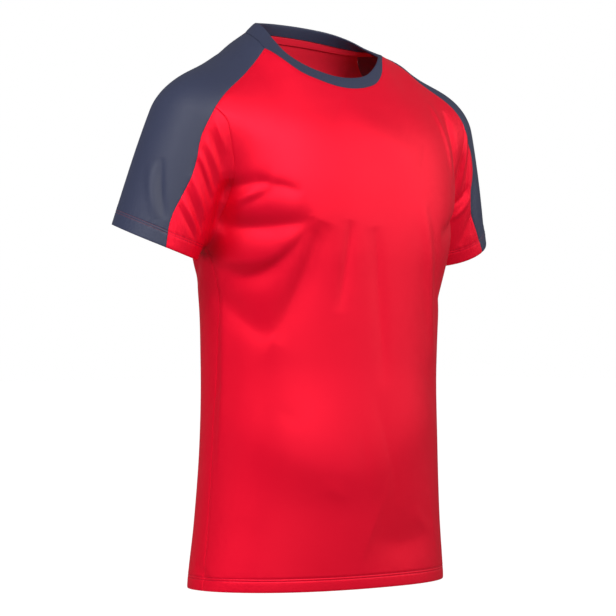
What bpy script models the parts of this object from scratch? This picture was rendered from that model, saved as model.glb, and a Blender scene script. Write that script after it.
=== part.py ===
"""Football jersey with short raglan sleeves, filled out as if worn and empty inside.

Every sewn piece is a closed wall of cloth. One smooth form gives the outer face of all of them: a body
lofted through level sections, blended with two tapered sleeves. Seams are lines on that form, each piece
is a grid between its seams, and the folds move the grid along the form's own direction.
Metres. The origin is between the shoulder points at the neck, +X is the wearer's left, -Y the front.
"""

import math

import bpy
import numpy as np

GARMENT = "football_jersey"

# Cloth
CLOTH_WALL = 0.0020
BAND_WALL = 0.0026
TAPE_WALL = 0.0010
SEAM_GAP = 0.0003
TAPE_GAP = 0.0010

# Body sections from hem to neck: level, half width, front and back lines, squareness of the outline
BODY = np.array([
    # level  half_width  front    back   squareness
    (-0.760, 0.1905, -0.1205, 0.0955, 2.20),
    (-0.680, 0.1886, -0.1215, 0.0965, 2.20),
    (-0.600, 0.1772, -0.1258, 0.0968, 2.20),
    (-0.500, 0.1682, -0.1300, 0.0960, 2.20),
    (-0.400, 0.1653, -0.1318, 0.0978, 2.20),
    (-0.300, 0.1717, -0.1345, 0.0965, 2.30),
    (-0.260, 0.1785, -0.1357, 0.0947, 2.50),
    (-0.220, 0.1838, -0.1352, 0.0909, 2.65),
    (-0.160, 0.1930, -0.1300, 0.0905, 2.55),
    (-0.110, 0.1995, -0.1170, 0.0912, 2.35),
    (-0.080, 0.1990, -0.1020, 0.0900, 2.20),
    (-0.060, 0.1925, -0.0900, 0.0860, 2.10),
    (-0.045, 0.1815, -0.0815, 0.0825, 2.00),
    (-0.031, 0.1625, -0.0740, 0.0780, 2.00),
    (-0.012, 0.1290, -0.0660, 0.0700, 2.00),
    (+0.003, 0.0985, -0.0600, 0.0620, 2.00),
    (+0.015, 0.0855, -0.0550, 0.0550, 2.00),
    (+0.030, 0.0790, -0.0500, 0.0470, 2.00),
    (+0.060, 0.0730, -0.0450, 0.0400, 2.00),
])
HEM_LEVEL = -0.679
SHOULDER_LEAN = 0.004       # the left shoulder rides higher than the right, per metre across
NECK_LEAN = 0.080           # and the right side of the neck rides higher than the left

# Sleeves: half widths along the arm from the shoulder ball to past the cuff
SLEEVE = np.array([
    # along   outer   inner   front_and_back
    (-0.050, 0.0650, 0.0660, 0.0635),
    (+0.000, 0.0655, 0.0660, 0.0635),
    (+0.050, 0.0633, 0.0640, 0.0615),
    (+0.100, 0.0590, 0.0600, 0.0590),
    (+0.151, 0.0537, 0.0560, 0.0572),
    (+0.300, 0.0500, 0.0520, 0.0540),
])
SHOULDER_BALL = (0.1903, -0.0081, -0.1164)
ARM_SLOPE = (0.382, 0.113, -0.920)
SHOULDER_CAP = 0.0690
CUFFS = {
    # side: sleeve length, how much lower the cuff hangs on its outer side, and in front
    -1: (0.1510, 0.0059, 0.0086),
    +1: (0.1490, -0.0010, 0.0045),
}
ARMPIT_BLEND = 0.024
SHOULDER_BLEND = 0.040

# Seams, as points near the form that are then laid on it
NECK_RIGHT_FRONT = (-0.1135, -0.0410, -0.0140)
NECK_LEFT_FRONT = (0.0990, -0.0240, -0.0050)
NECK_LEFT_BACK = (0.0940, 0.0130, 0.0030)
NECK_RIGHT_BACK = (-0.0920, 0.0230, 0.0130)
NECK_FRONT = [(-0.0890, -0.0735, -0.0400), (-0.0610, -0.0845, -0.0535), (-0.0303, -0.0905, -0.0610),
              (0.0000, -0.0905, -0.0608), (0.0300, -0.0850, -0.0540), (0.0490, -0.0760, -0.0435),
              (0.0614, -0.0668, -0.0320), (0.0720, -0.0560, -0.0180), (0.0870, -0.0400, -0.0100)]
NECK_BACK = [(0.0780, 0.0320, 0.0070), (0.0480, 0.0490, 0.0130), (0.0000, 0.0560, 0.0160),
             (-0.0480, 0.0500, 0.0160), (-0.0740, 0.0390, 0.0150)]
NECK_LEFT = [(0.0985, -0.0060, 0.0000)]
NECK_RIGHT = [(-0.1030, 0.0010, 0.0070), (-0.1100, -0.0200, 0.0000)]

# Where each raglan line meets its armhole
JOIN_RIGHT_FRONT = (-0.2120, -0.0645, -0.0940)
JOIN_LEFT_FRONT = (0.2035, -0.0690, -0.0900)
JOIN_RIGHT_BACK = (-0.2080, 0.0560, -0.0940)
JOIN_LEFT_BACK = (0.2080, 0.0560, -0.0900)
RAGLAN_RIGHT_FRONT = [(-0.1370, -0.0467, -0.0353), (-0.1625, -0.0537, -0.0549), (-0.1955, -0.0622, -0.0773)]
RAGLAN_LEFT_FRONT = [(0.1300, -0.0400, -0.0320), (0.1600, -0.0520, -0.0490), (0.1870, -0.0620, -0.0680)]
RAGLAN_BACK = [(0.1250, 0.0440, -0.0200), (0.1600, 0.0520, -0.0440), (0.1880, 0.0560, -0.0700)]

ARMPIT = (0.1830, -0.0080, -0.2550)
ARMHOLE_FRONT = [(0.2063, -0.0705, -0.1012), (0.1999, -0.0743, -0.1122), (0.1944, -0.0744, -0.1407),
                 (0.1868, -0.0706, -0.1636), (0.1840, -0.0620, -0.1880), (0.1830, -0.0450, -0.2200),
                 (0.1828, -0.0250, -0.2450)]
ARMHOLE_BACK = [(0.2000, 0.0640, -0.1150), (0.1930, 0.0650, -0.1450), (0.1870, 0.0590, -0.1750),
                (0.1840, 0.0450, -0.2080), (0.1828, 0.0200, -0.2420)]

# Lines down the sleeve between navy and red, by level
SLEEVE_LINE = np.array([
    # level   right_x  right_y   left_x  left_y  back_x  back_y
    (-0.105, -0.2190, -0.0645, 0.2080, -0.0710, 0.2150, 0.0565),
    (-0.131, -0.2307, -0.0600, 0.2240, -0.0635, 0.2300, 0.0560),
    (-0.157, -0.2355, -0.0582, 0.2296, -0.0609, 0.2370, 0.0550),
    (-0.177, -0.2411, -0.0557, 0.2268, -0.0607, 0.2440, 0.0540),
    (-0.202, -0.2524, -0.0504, 0.2310, -0.0570, 0.2530, 0.0530),
    (-0.220, -0.2612, -0.0464, 0.2385, -0.0540, 0.2590, 0.0520),
    (-0.238, -0.2669, -0.0440, 0.2500, -0.0505, 0.2650, 0.0510),
])
CUFF_FRONT_RIGHT = 69.0     # degrees round the arm from its outer side to the line, at the cuff
CUFF_FRONT_LEFT = 74.0
CUFF_BACK = 62.0

SIDE_SEAM = [(0.1756, -0.0179, -0.2984), (0.1734, -0.0176, -0.3326), (0.1713, -0.0133, -0.3855),
             (0.1701, -0.0091, -0.4466), (0.1708, -0.0070, -0.5078), (0.1733, -0.0072, -0.5688),
             (0.1800, -0.0100, -0.6300)]
SIDE_SEAM_HEM = (0.1845, -0.0118, HEM_LEVEL)

# The neck band's top edge: how far round from the wearer's left, through the back, and its height
RIM_CENTRE = (-0.0030, -0.0150)
RIM_HALF = (0.0870, 0.0640)
RIM = np.array([
    # degrees  height
    (-35.0, -0.0150),
    (-11.0, -0.0071),
    (6.0, 0.0010),
    (20.0, 0.0100),
    (43.0, 0.0210),
    (70.0, 0.0274),
    (100.0, 0.0292),
    (129.0, 0.0268),
    (150.0, 0.0240),
    (166.0, 0.0208),
    (178.0, 0.0145),
    (192.0, -0.0003),
    (208.0, -0.0191),
    (223.0, -0.0315),
    (239.0, -0.0407),
    (254.0, -0.0460),
    (271.0, -0.0467),
    (289.0, -0.0415),
    (305.0, -0.0300),
    (325.0, -0.0150),
    (349.0, -0.0071),
    (366.0, 0.0010),
    (380.0, 0.0100),
])

# Folds, each a curved line round the body: degrees from the front towards the wearer's right, and level,
# at its start, bend and end, then its half width and how far the cloth stands out there (- for a trough)
BODY_FOLDS = np.array([
    # from     level   by    level   to    level  width   out
    (85.0, -0.199, 75.0, -0.184, 63.0, -0.182, 0.0095, -0.0040),
    (88.0, -0.242, 68.0, -0.246, 46.0, -0.228, 0.0140, -0.0070),
    (90.0, -0.287, 66.0, -0.312, 47.0, -0.236, 0.0120, -0.0050),
    (42.0, -0.230, 48.0, -0.292, 64.0, -0.374, 0.0155, -0.0050),
    (92.0, -0.312, 80.0, -0.346, 64.0, -0.374, 0.0200, -0.0047),
    (8.0, -0.235, 4.0, -0.300, -2.0, -0.430, 0.0120, -0.0024),
    (-33.0, -0.200, -40.0, -0.290, -52.0, -0.400, 0.0100, 0.0024),
    (-69.0, -0.082, -66.0, -0.120, -73.0, -0.180, 0.0080, -0.0045),
    (24.0, -0.086, -4.0, -0.120, -34.0, -0.158, 0.0260, 0.0026),
    (92.0, -0.440, 46.0, -0.555, -6.0, -0.520, 0.0520, 0.0055),
    (14.0, -0.520, -24.0, -0.505, -50.0, -0.450, 0.0480, 0.0032),
    (6.0, -0.612, -26.0, -0.640, -52.0, -0.610, 0.0340, -0.0045),
    (-78.0, -0.198, -66.0, -0.226, -48.0, -0.240, 0.0110, -0.0045),
    (-88.0, -0.262, -72.0, -0.300, -56.0, -0.330, 0.0120, -0.0042),
    (138.0, -0.190, 150.0, -0.210, 162.0, -0.250, 0.0105, -0.0045),
    (140.0, -0.240, 150.0, -0.275, 172.0, -0.290, 0.0130, -0.0055),
    (142.0, -0.310, 152.0, -0.352, 176.0, -0.356, 0.0145, -0.0042),
    (-104.0, -0.205, -120.0, -0.212, -138.0, -0.252, 0.0105, -0.0052),
    (-100.0, -0.262, -118.0, -0.296, -142.0, -0.312, 0.0130, -0.0055),
    (150.0, -0.400, 180.0, -0.448, 212.0, -0.412, 0.0190, -0.0058),
    (146.0, -0.470, 178.0, -0.506, 206.0, -0.482, 0.0170, -0.0042),
    (168.0, -0.110, 172.0, -0.180, 164.0, -0.260, 0.0160, 0.0026),
    (192.0, -0.100, 188.0, -0.170, 198.0, -0.250, 0.0160, -0.0030),
])
# The same along each sleeve: degrees from its outer side round through the front, and distance along
SLEEVE_FOLDS = {
    -1: np.array([
        # from  along   by    along   to     along   width   out
        (63.0, 0.010, 80.0, 0.030, 100.0, 0.052, 0.0065, -0.0020),
        (63.0, 0.049, 83.0, 0.069, 105.0, 0.088, 0.0065, -0.0026),
        (63.0, 0.088, 85.0, 0.107, 107.0, 0.125, 0.0065, -0.0024),
        (128.0, 0.030, 134.0, 0.070, 146.0, 0.112, 0.0075, -0.0030),
        (25.0, 0.062, 33.0, 0.100, 55.0, 0.131, 0.0065, -0.0034),
        (-64.0, 0.014, -82.0, 0.034, -106.0, 0.060, 0.0065, -0.0024),
        (-64.0, 0.052, -84.0, 0.076, -108.0, 0.100, 0.0065, -0.0026),
        (-62.0, 0.090, -82.0, 0.108, -102.0, 0.126, 0.0065, -0.0020),
    ]),
    +1: np.array([
        # from  along   by    along   to     along   width   out
        (63.0, -0.004, 76.0, 0.034, 92.0, 0.072, 0.0065, -0.0022),
        (88.0, 0.010, 99.0, 0.044, 122.0, 0.056, 0.0065, -0.0024),
        (80.0, 0.056, 97.0, 0.074, 124.0, 0.074, 0.0065, -0.0024),
        (84.0, 0.092, 97.0, 0.112, 113.0, 0.130, 0.0065, -0.0020),
        (20.0, 0.052, 30.0, 0.096, 50.0, 0.132, 0.0075, -0.0026),
        (-62.0, 0.010, -80.0, 0.030, -103.0, 0.058, 0.0065, -0.0024),
        (-63.0, 0.056, -83.0, 0.078, -105.0, 0.106, 0.0065, -0.0026),
    ]),
}

# Grid steps along each seam, shared by the pieces that meet there
STEPS = {"side": 18, "armhole": 10, "raglan": 8, "sleeve": 14, "front": 26, "back": 20, "shoulder": 10}
BODY_BREAKS = (-0.250, -0.125)      # levels down the middle of the body, level with armpit and join
TAUT_ROUNDS = {"body": 20, "top": 12, "under": 90}
# Ridge line over a sleeve top: its tip beside the shoulder ball, and a point half way down the sleeve
RIDGE_TIP = 0.045           # outwards and up from the ball
RIDGE_LIFT = 0.004          # between the neck and the tip
RIDGE_ALONG = 0.075
RIDGE_OUT = 0.062
TAPE_TOP = 0.0012           # below the neck seam
TAPE_DEPTH = 0.0100
TAPE_SHOULDER_STEPS = 5

RED = (0.62, 0.008, 0.022)
NAVY = (0.060, 0.068, 0.125)
ROUGHNESS = 0.45


# ---------------------------------------------------------------- the form

def read_curve(table, at):
    """Smooth curve through the rows of a table, whose first column is the key."""
    keys, values = table[:, 0], table[:, 1:]
    slopes = np.gradient(values, keys, axis=0)
    at = np.clip(at, keys[0], keys[-1])
    row = np.clip(np.searchsorted(keys, at) - 1, 0, len(keys) - 2)
    step = keys[row + 1] - keys[row]
    t = ((at - keys[row]) / step)[:, None]
    step = step[:, None]
    return ((2 * t**3 - 3 * t**2 + 1) * values[row] + (t**3 - 2 * t**2 + t) * step * slopes[row]
            + (3 * t**2 - 2 * t**3) * values[row + 1] + (t**3 - t**2) * step * slopes[row + 1])


def ease(value, low, high):
    t = np.clip((value - low) / (high - low), 0, 1)
    return t * t * (3 - 2 * t)


def body_section(level):
    half, front, back, square = read_curve(BODY, level).T
    return half, (back - front) / 2, (back + front) / 2, square


def body_distance(points):
    """Signed distance, near enough, from the level section of the body."""
    half, deep, middle, square = body_section(points[:, 2])
    y = points[:, 1] - middle
    size = ((np.abs(points[:, 0]) / half) ** square + (np.abs(y) / deep) ** square + 1e-12) ** (1 / square)
    return (1 - 1 / size) * np.hypot(points[:, 0], y)


def arm_frame(side):
    """Shoulder ball, then unit directions along the arm, outwards and to the front."""
    mirror = np.array((side, 1, 1))
    along = np.array(ARM_SLOPE) * mirror
    along /= np.linalg.norm(along)
    out = np.array((side, 0, 0)) - along * (along[0] * side)
    out /= np.linalg.norm(out)
    front = np.cross(along, out)
    return np.array(SHOULDER_BALL) * mirror, along, out, front * -np.sign(front[1])


def sleeve_distance(points, side):
    ball, along, out, front = arm_frame(side)
    offset = points - ball
    s, u, w = offset @ along, offset @ out, offset @ front
    outer, inner, deep = read_curve(SLEEVE, s).T
    above = np.minimum(s, 0)
    wide = np.where(u > 0, outer, inner)
    size = np.sqrt((u / wide) ** 2 + (w / deep) ** 2 + (above / SHOULDER_CAP) ** 2 + 1e-12)
    return (1 - 1 / size) * np.sqrt(u * u + w * w + above * above)


def blend(a, b, reach):
    h = np.clip(0.5 + 0.5 * (b - a) / reach, 0, 1)
    return b + (a - b) * h - reach * h * (1 - h)


def form_distance(points):
    """Below zero inside the worn jersey. The shoulders and the neck lean a little to opposite sides."""
    points = points.copy()
    across, level = np.abs(points[:, 0]), points[:, 2].copy()
    shoulder = SHOULDER_LEAN * ease(level, -0.24, -0.06) * ease(across, 0.10, 0.17)
    neck = NECK_LEAN * ease(level, -0.10, -0.02) * (1 - ease(across, 0.085, 0.135))
    points[:, 2] -= (shoulder - neck) * points[:, 0]
    reach = ARMPIT_BLEND + (SHOULDER_BLEND - ARMPIT_BLEND) * ease(level, -0.20, -0.10)
    form = body_distance(points)
    for side in (-1, 1):
        form = blend(form, sleeve_distance(points, side), reach)
    return form


def steepest(points):
    """Gradient of the form's distance, by differences."""
    nudge = 1e-4
    columns = []
    for axis in np.eye(3) * nudge:
        columns.append((form_distance(points + axis) - form_distance(points - axis)) / (2 * nudge))
    return np.stack(columns, axis=1)


def lay(points, rounds=12):
    """Points moved onto the form."""
    shape = np.shape(points)
    laid = np.array(points, float).reshape(-1, 3)
    for _ in range(rounds):
        slope = steepest(laid)
        move = (form_distance(laid) / np.maximum((slope**2).sum(1), 1e-6))[:, None] * slope
        length = np.linalg.norm(move, axis=1, keepdims=True)
        laid -= move * np.minimum(1, 0.02 / np.maximum(length, 1e-9))
    return laid.reshape(shape)


def outward(points):
    slope = steepest(points.reshape(-1, 3))
    slope /= np.linalg.norm(slope, axis=1, keepdims=True)
    return slope.reshape(points.shape)


def body_point(degrees, level):
    """Point of the body section at a bearing from the front towards the wearer's right."""
    half, deep, middle, square = body_section(level)
    bearing = np.radians(degrees)
    x, y = -np.sin(bearing), -np.cos(bearing)
    size = ((np.abs(x) / half) ** square + (np.abs(y) / deep) ** square) ** (-1 / square)
    return np.stack([size * x, middle + size * y, level], axis=1)


def sleeve_point(side, degrees, along_arm):
    """Point of the sleeve at a bearing from its outer side round through the front."""
    ball, along, out, front = arm_frame(side)
    bearing = np.radians(degrees)
    u, w = np.cos(bearing), np.sin(bearing)
    outer, inner, deep = read_curve(SLEEVE, along_arm).T
    size = 1 / np.sqrt((u / np.where(u > 0, outer, inner)) ** 2 + (w / deep) ** 2)
    return ball + along_arm[:, None] * along + (size * u)[:, None] * out + (size * w)[:, None] * front


# ---------------------------------------------------------------- the folds

def bend_line(row):
    """The two coordinates along a fold, from its start through its bend to its end."""
    t = np.linspace(0, 1, 21)[:, None]
    start, bend, end = row[0:2], row[2:4], row[4:6]
    return (1 - t) ** 2 * start + 2 * t * (1 - t) * bend + t**2 * end


def fold_height(points):
    """How far the cloth stands out at each point. Each fold is a soft ridge that dies out at its ends."""
    height = np.zeros(len(points))
    lines = [(body_point(*bend_line(row).T), row) for row in BODY_FOLDS]
    for side in (-1, 1):
        lines += [(sleeve_point(side, *bend_line(row).T), row) for row in SLEEVE_FOLDS[side]]
    for line, row in lines:
        width, out = row[6:8]
        away = np.linalg.norm(points[:, None] - line[None], axis=2)
        nearest = away.argmin(axis=1)
        strength = np.sin(np.pi * (nearest + 1) / (len(line) + 1)) ** 0.7
        height += out * strength * np.exp(-(away.min(axis=1) / width) ** 2)
    return height


# ---------------------------------------------------------------- seams

def smooth_line(points, steps):
    """Smooth line through hand-placed points, laid on the form and cut into even steps."""
    ends = np.array(points, float)
    ends = np.vstack([2 * ends[0] - ends[1], ends, 2 * ends[-1] - ends[-2]])
    t = np.linspace(0, 1, 12, endpoint=False)[:, None]
    runs = []
    for a, b, c, d in zip(ends, ends[1:], ends[2:], ends[3:]):
        runs.append(b + (c - a) * t / 2 + (2 * a - 5 * b + 4 * c - d) * t**2 / 2
                    + (3 * b - a - 3 * c + d) * t**3 / 2)
    line = lay(np.vstack(runs + [ends[-2:-1]]))
    return lay(even_steps(line, steps))


def even_steps(line, steps):
    along = np.concatenate([[0], np.cumsum(np.linalg.norm(np.diff(line, axis=0), axis=1))])
    at = np.linspace(0, along[-1], steps + 1)
    return np.stack([np.interp(at, along, line[:, k]) for k in range(3)], axis=1)


def mirrored(points, side):
    return [tuple(np.array(point) * (side, 1, 1)) for point in points]


def cuff_edge(side, degrees):
    """The cuff's edge at bearings round the arm, lower on its outer side and in front."""
    bearing = np.radians(degrees)
    length, dip_out, dip_front = CUFFS[side]
    end = length + dip_out * np.cos(bearing) + dip_front * np.sin(bearing)
    return lay(sleeve_point(side, degrees, end))


def neck_seams():
    """The neck seam as four runs, one for each piece that the band is sewn to."""
    return {
        "front": smooth_line([NECK_RIGHT_FRONT, *NECK_FRONT, NECK_LEFT_FRONT], STEPS["front"]),
        "left": smooth_line([NECK_LEFT_FRONT, *NECK_LEFT, NECK_LEFT_BACK], STEPS["shoulder"]),
        "back": smooth_line([NECK_LEFT_BACK, *NECK_BACK, NECK_RIGHT_BACK], STEPS["back"]),
        "right": smooth_line([NECK_RIGHT_BACK, *NECK_RIGHT, NECK_RIGHT_FRONT], STEPS["shoulder"]),
    }


def arm_seams(side, neck):
    """The seams round one arm: both raglan lines, both halves of the armhole, both sleeve lines."""
    right = side < 0
    run = neck["right" if right else "left"]
    front_corner, back_corner = (run[-1], run[0]) if right else (run[0], run[-1])
    front_join = JOIN_RIGHT_FRONT if right else JOIN_LEFT_FRONT
    back_join = JOIN_RIGHT_BACK if right else JOIN_LEFT_BACK
    armpit = np.array(ARMPIT) * (side, 1, 1)
    front_angle = CUFF_FRONT_RIGHT if right else CUFF_FRONT_LEFT
    cuff = cuff_edge(side, np.array((front_angle, -CUFF_BACK)))
    x, y = (1, 2) if right else (3, 4)
    front_line = SLEEVE_LINE[:, (x, y, 0)]
    back_line = SLEEVE_LINE[:, (5, 6, 0)] * (side, 1, 1)
    raglan = RAGLAN_RIGHT_FRONT if right else RAGLAN_LEFT_FRONT
    seams = {
        "raglan_front": smooth_line([front_join, *raglan[::-1], front_corner], STEPS["raglan"]),
        "raglan_back": smooth_line([back_join, *mirrored(RAGLAN_BACK, side)[::-1], back_corner],
                                   STEPS["raglan"]),
        "armhole_front": smooth_line([armpit, *mirrored(ARMHOLE_FRONT, side)[::-1], front_join],
                                     STEPS["armhole"]),
        "armhole_back": smooth_line([armpit, *mirrored(ARMHOLE_BACK, side)[::-1], back_join],
                                    STEPS["armhole"]),
        "sleeve_front": smooth_line([front_join, *front_line, cuff[0]], STEPS["sleeve"]),
        "sleeve_back": smooth_line([back_join, *back_line, cuff[1]], STEPS["sleeve"]),
    }
    seams["side"] = smooth_line([np.array(SIDE_SEAM_HEM) * (side, 1, 1), *mirrored(SIDE_SEAM, side)[::-1],
                                 armpit], STEPS["side"])
    return seams


def chain(*lines):
    """Lines that follow each other, joined at their shared ends."""
    return np.vstack([lines[0]] + [line[1:] for line in lines[1:]])


# ---------------------------------------------------------------- grids of the sewn pieces

def arched(left, middle, right, steps):
    """Rows on the form from one side line over the middle line to the other, each in even steps.
    A row starts as an elliptical arch, which is laid on the form."""
    bend = np.radians(np.linspace(-90, 90, 4 * steps + 1))[None, :, None]
    centre = (left + right)[:, None] / 2
    rows = centre + (right - left)[:, None] / 2 * np.sin(bend) + (middle[:, None] - centre) * np.cos(bend)
    return np.array([even_steps(row, steps) for row in lay(rows)])


def fit_ends(grid, first, last):
    """The grid on the form with its first and last rows on given lines, and the rows near them moved too."""
    t = np.linspace(0, 1, len(grid))[:, None, None] ** 3
    start, end = first - grid[0], last - grid[-1]
    return lay(grid + start[None] * t[::-1] + end[None] * t)


def taut(grid, rounds):
    """The grid drawn taut on the form: again and again, each inner point moves to the middle of the four
    round it and back on to the form. The border stays."""
    for _ in range(rounds):
        middle = (grid[:-2, 1:-1] + grid[2:, 1:-1] + grid[1:-1, :-2] + grid[1:-1, 2:]) / 4
        grid[1:-1, 1:-1] = lay(middle, 2)
    grid[1:-1, 1:-1] = lay(grid[1:-1, 1:-1])
    return grid


def body_grid(left, right, neck_line, bearing, steps):
    """Rows of a body piece from hem to neck. Its middle line runs straight up the front or the back."""
    counts = np.cumsum([0, STEPS["side"], STEPS["armhole"], STEPS["raglan"]])
    neck_middle = neck_line[steps // 2]
    levels = np.interp(np.arange(counts[-1] + 1), counts, (HEM_LEVEL, *BODY_BREAKS, neck_middle[2]))
    middle = body_point(np.full(len(levels), bearing), levels)
    middle[-1] = neck_middle
    grid = arched(left, middle, right, steps)
    return taut(fit_ends(grid, grid[0], neck_line), TAUT_ROUNDS["body"])


def top_grid(side, seams, neck_run):
    """Rows of a raglan shoulder from the neck to the cuff, from its front line over to its back line."""
    front = chain(seams["raglan_front"][::-1], seams["sleeve_front"])
    back = chain(seams["raglan_back"][::-1], seams["sleeve_back"])
    steps = STEPS["shoulder"]
    first = neck_run[::-1] if side < 0 else neck_run
    front_angle = CUFF_FRONT_RIGHT if side < 0 else CUFF_FRONT_LEFT
    last = cuff_edge(side, np.linspace(front_angle, -CUFF_BACK, steps + 1))
    ball, along, out, _ = arm_frame(side)
    ridge_top = first[steps // 2]
    tip = ball + (out - along) * RIDGE_TIP
    half_down = ball + along * RIDGE_ALONG + out * RIDGE_OUT
    lifted = (ridge_top + tip) / 2 + (0, 0, RIDGE_LIFT)
    ridge = smooth_line([ridge_top, lifted, tip, half_down, last[steps // 2]], len(front) - 1)
    return taut(fit_ends(arched(front, ridge, back, steps), first, last), TAUT_ROUNDS["top"])


def under_grid(side, seams):
    """Rows of an under-sleeve from the armhole to the cuff, from the front line under the arm to the back."""
    steps = 2 * STEPS["armhole"]
    first = chain(seams["armhole_front"][::-1], seams["armhole_back"])
    front_angle = CUFF_FRONT_RIGHT if side < 0 else CUFF_FRONT_LEFT
    last = cuff_edge(side, np.linspace(front_angle, 360 - CUFF_BACK, steps + 1))
    front, back = seams["sleeve_front"], seams["sleeve_back"]
    t = np.linspace(0, 1, STEPS["sleeve"] + 1)[:, None, None]
    s = np.linspace(0, 1, steps + 1)[None, :, None]
    corners = (1 - t) * ((1 - s) * first[0] + s * first[-1]) + t * ((1 - s) * last[0] + s * last[-1])
    patch = (1 - t) * first + t * last + (1 - s) * front[:, None] + s * back[:, None] - corners
    return taut(patch, TAUT_ROUNDS["under"])


# ---------------------------------------------------------------- walls of cloth

def pulled_in(grid, facing, edges):
    """The grid with its sewn edges drawn back by half a seam gap, square to the seam and on the cloth."""
    grid = grid.copy()
    source = grid.copy()
    for edge in edges:
        rows = {"first": (0, 1), "last": (-1, -2), "start": (0, 1), "end": (-1, -2)}[edge]
        across = edge in ("start", "end")
        line = source[:, rows[0]] if across else source[rows[0]]
        inner = source[:, rows[1]] if across else source[rows[1]]
        normal = facing[:, rows[0]] if across else facing[rows[0]]
        along = np.gradient(line, axis=0)
        along -= normal * (along * normal).sum(1, keepdims=True)
        square = np.cross(normal, along)
        square /= np.linalg.norm(square, axis=1, keepdims=True)
        square *= np.sign((square * (inner - line)).sum())
        if across:
            grid[:, rows[0]] += square * SEAM_GAP / 2
        else:
            grid[rows[0]] += square * SEAM_GAP / 2
    return grid


def split_short(faces, points):
    """Four-sided faces turned so that they split along their shorter diagonal."""
    a, b, c, d = points[faces.T]
    long = np.linalg.norm(c - a, axis=1) > np.linalg.norm(d - b, axis=1)
    return np.where(long[:, None], np.roll(faces, 1, axis=1), faces)


def wall_object(name, outer, inner, material, collection):
    """A closed wall between two grids of the same size."""
    rows, columns = outer.shape[:2]
    index = np.arange(rows * columns).reshape(rows, columns)
    a, b, c, d = index[:-1, :-1], index[:-1, 1:], index[1:, 1:], index[1:, :-1]
    border = np.concatenate([index[0], index[1:, -1], index[-1, -2::-1], index[-2:0:-1, 0]])
    after = np.roll(border, -1)
    other = rows * columns
    points = np.concatenate([outer.reshape(-1, 3), inner.reshape(-1, 3)])
    face = split_short(np.stack([a, b, c, d], axis=-1).reshape(-1, 4), points)
    corner, right, _, up = points[face.T]
    through = corner - points[face[:, 0] + other]
    if (np.cross(right - corner, up - corner) * through).sum() < 0:
        face, border, after = face[:, (0, 3, 2, 1)], after, border
    sides = split_short(np.stack([after, border, border + other, after + other], axis=1), points)
    faces = np.concatenate([face, face[:, (0, 3, 2, 1)] + other, sides])
    return mesh_object(name, points, faces, material, collection)


def mesh_object(name, points, faces, material, collection):
    mesh = bpy.data.meshes.new(name)
    mesh.from_pydata(points.tolist(), [], faces.tolist())
    mesh.validate()
    mesh.materials.append(material)
    mesh.shade_smooth()
    mesh.set_sharp_from_angle(angle=math.radians(50))
    piece = bpy.data.objects.new(name, mesh)
    collection.objects.link(piece)
    return piece


def cloth_piece(name, grid, sewn_edges, material, collection):
    """A sewn piece: its grid with the folds put in, and its inner face one wall further in."""
    facing = outward(grid)
    height = fold_height(grid.reshape(-1, 3)).reshape(grid.shape[:2])[..., None]
    drawn = pulled_in(grid, facing, sewn_edges)
    outer = drawn + facing * height
    return wall_object(name, outer, outer - facing * CLOTH_WALL, material, collection)


def band_piece(seam, material, collection):
    """The neck band: a folded strip that stands on the neck seam and leans in to its own top edge."""
    centre, half = np.array(RIM_CENTRE), np.array(RIM_HALF)
    bearing = np.degrees(np.arctan2((seam[:, 1] - centre[1]) / half[1], (seam[:, 0] - centre[0]) / half[0]))
    bearing = (bearing - RIM[0, 0]) % 360 + RIM[0, 0]
    turn = np.radians(bearing)
    height = read_curve(RIM, bearing)[:, 0]
    rim = np.stack([centre[0] + half[0] * np.cos(turn), centre[1] + half[1] * np.sin(turn), height], axis=1)
    facing = outward(seam)
    rise = rim - seam
    along = np.roll(seam, -1, axis=0) - np.roll(seam, 1, axis=0)
    lean = np.cross(along, rise)
    lean /= np.linalg.norm(lean, axis=1, keepdims=True)
    step = np.cross(facing, along)
    step *= SEAM_GAP / 2 / np.linalg.norm(step, axis=1, keepdims=True)
    profile = np.array([
        # share of the rise, outwards in walls
        (0.35, 0.12),
        (0.75, 0.10),
        (0.96, -0.15),
        (1.00, -0.50),
        (0.96, -0.85),
        (0.75, -1.05),
        (0.35, -1.05),
    ])
    rings = [seam + step]
    rings += [seam + rise * share + lean * out * BAND_WALL for share, out in profile]
    rings += [seam + step - facing * BAND_WALL]
    rings = np.array(rings)
    count, stations = rings.shape[:2]
    i = np.arange(count)[:, None]
    j = np.arange(stations)[None, :]
    next_i, next_j = (i + 1) % count, (j + 1) % stations
    faces = np.stack([i * stations + j, i * stations + next_j, next_i * stations + next_j,
                      next_i * stations + j], axis=-1).reshape(-1, 4)
    return mesh_object("collar", rings.reshape(-1, 3), faces, material, collection)


def tape_piece(back, left_top, right_top, material, collection):
    """The neck tape: a narrow strip on the inner face, just below the band, from shoulder to shoulder.
    It is made from the inner points of the pieces that it lies on, moved in by a small gap."""
    reach = TAPE_SHOULDER_STEPS
    edge = chain(left_top[0, -reach - 1:], back[-1], right_top[0, :-reach - 2:-1])
    below = chain(left_top[1, -reach - 1:], back[-2], right_top[1, :-reach - 2:-1])
    facing = outward(np.array([edge, below]))
    edge, below = np.array([edge, below]) - facing * (CLOTH_WALL + TAPE_GAP)
    depth = np.linalg.norm(below - edge, axis=1, keepdims=True)
    shares = np.array([TAPE_TOP, TAPE_TOP + TAPE_DEPTH / 2, TAPE_TOP + TAPE_DEPTH])[:, None, None] / depth
    outer = edge + (below - edge) * shares
    facing = facing[0] + (facing[1] - facing[0]) * shares
    return wall_object("neck_tape", outer, outer - facing * TAPE_WALL, material, collection)


# ---------------------------------------------------------------- the model

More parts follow.
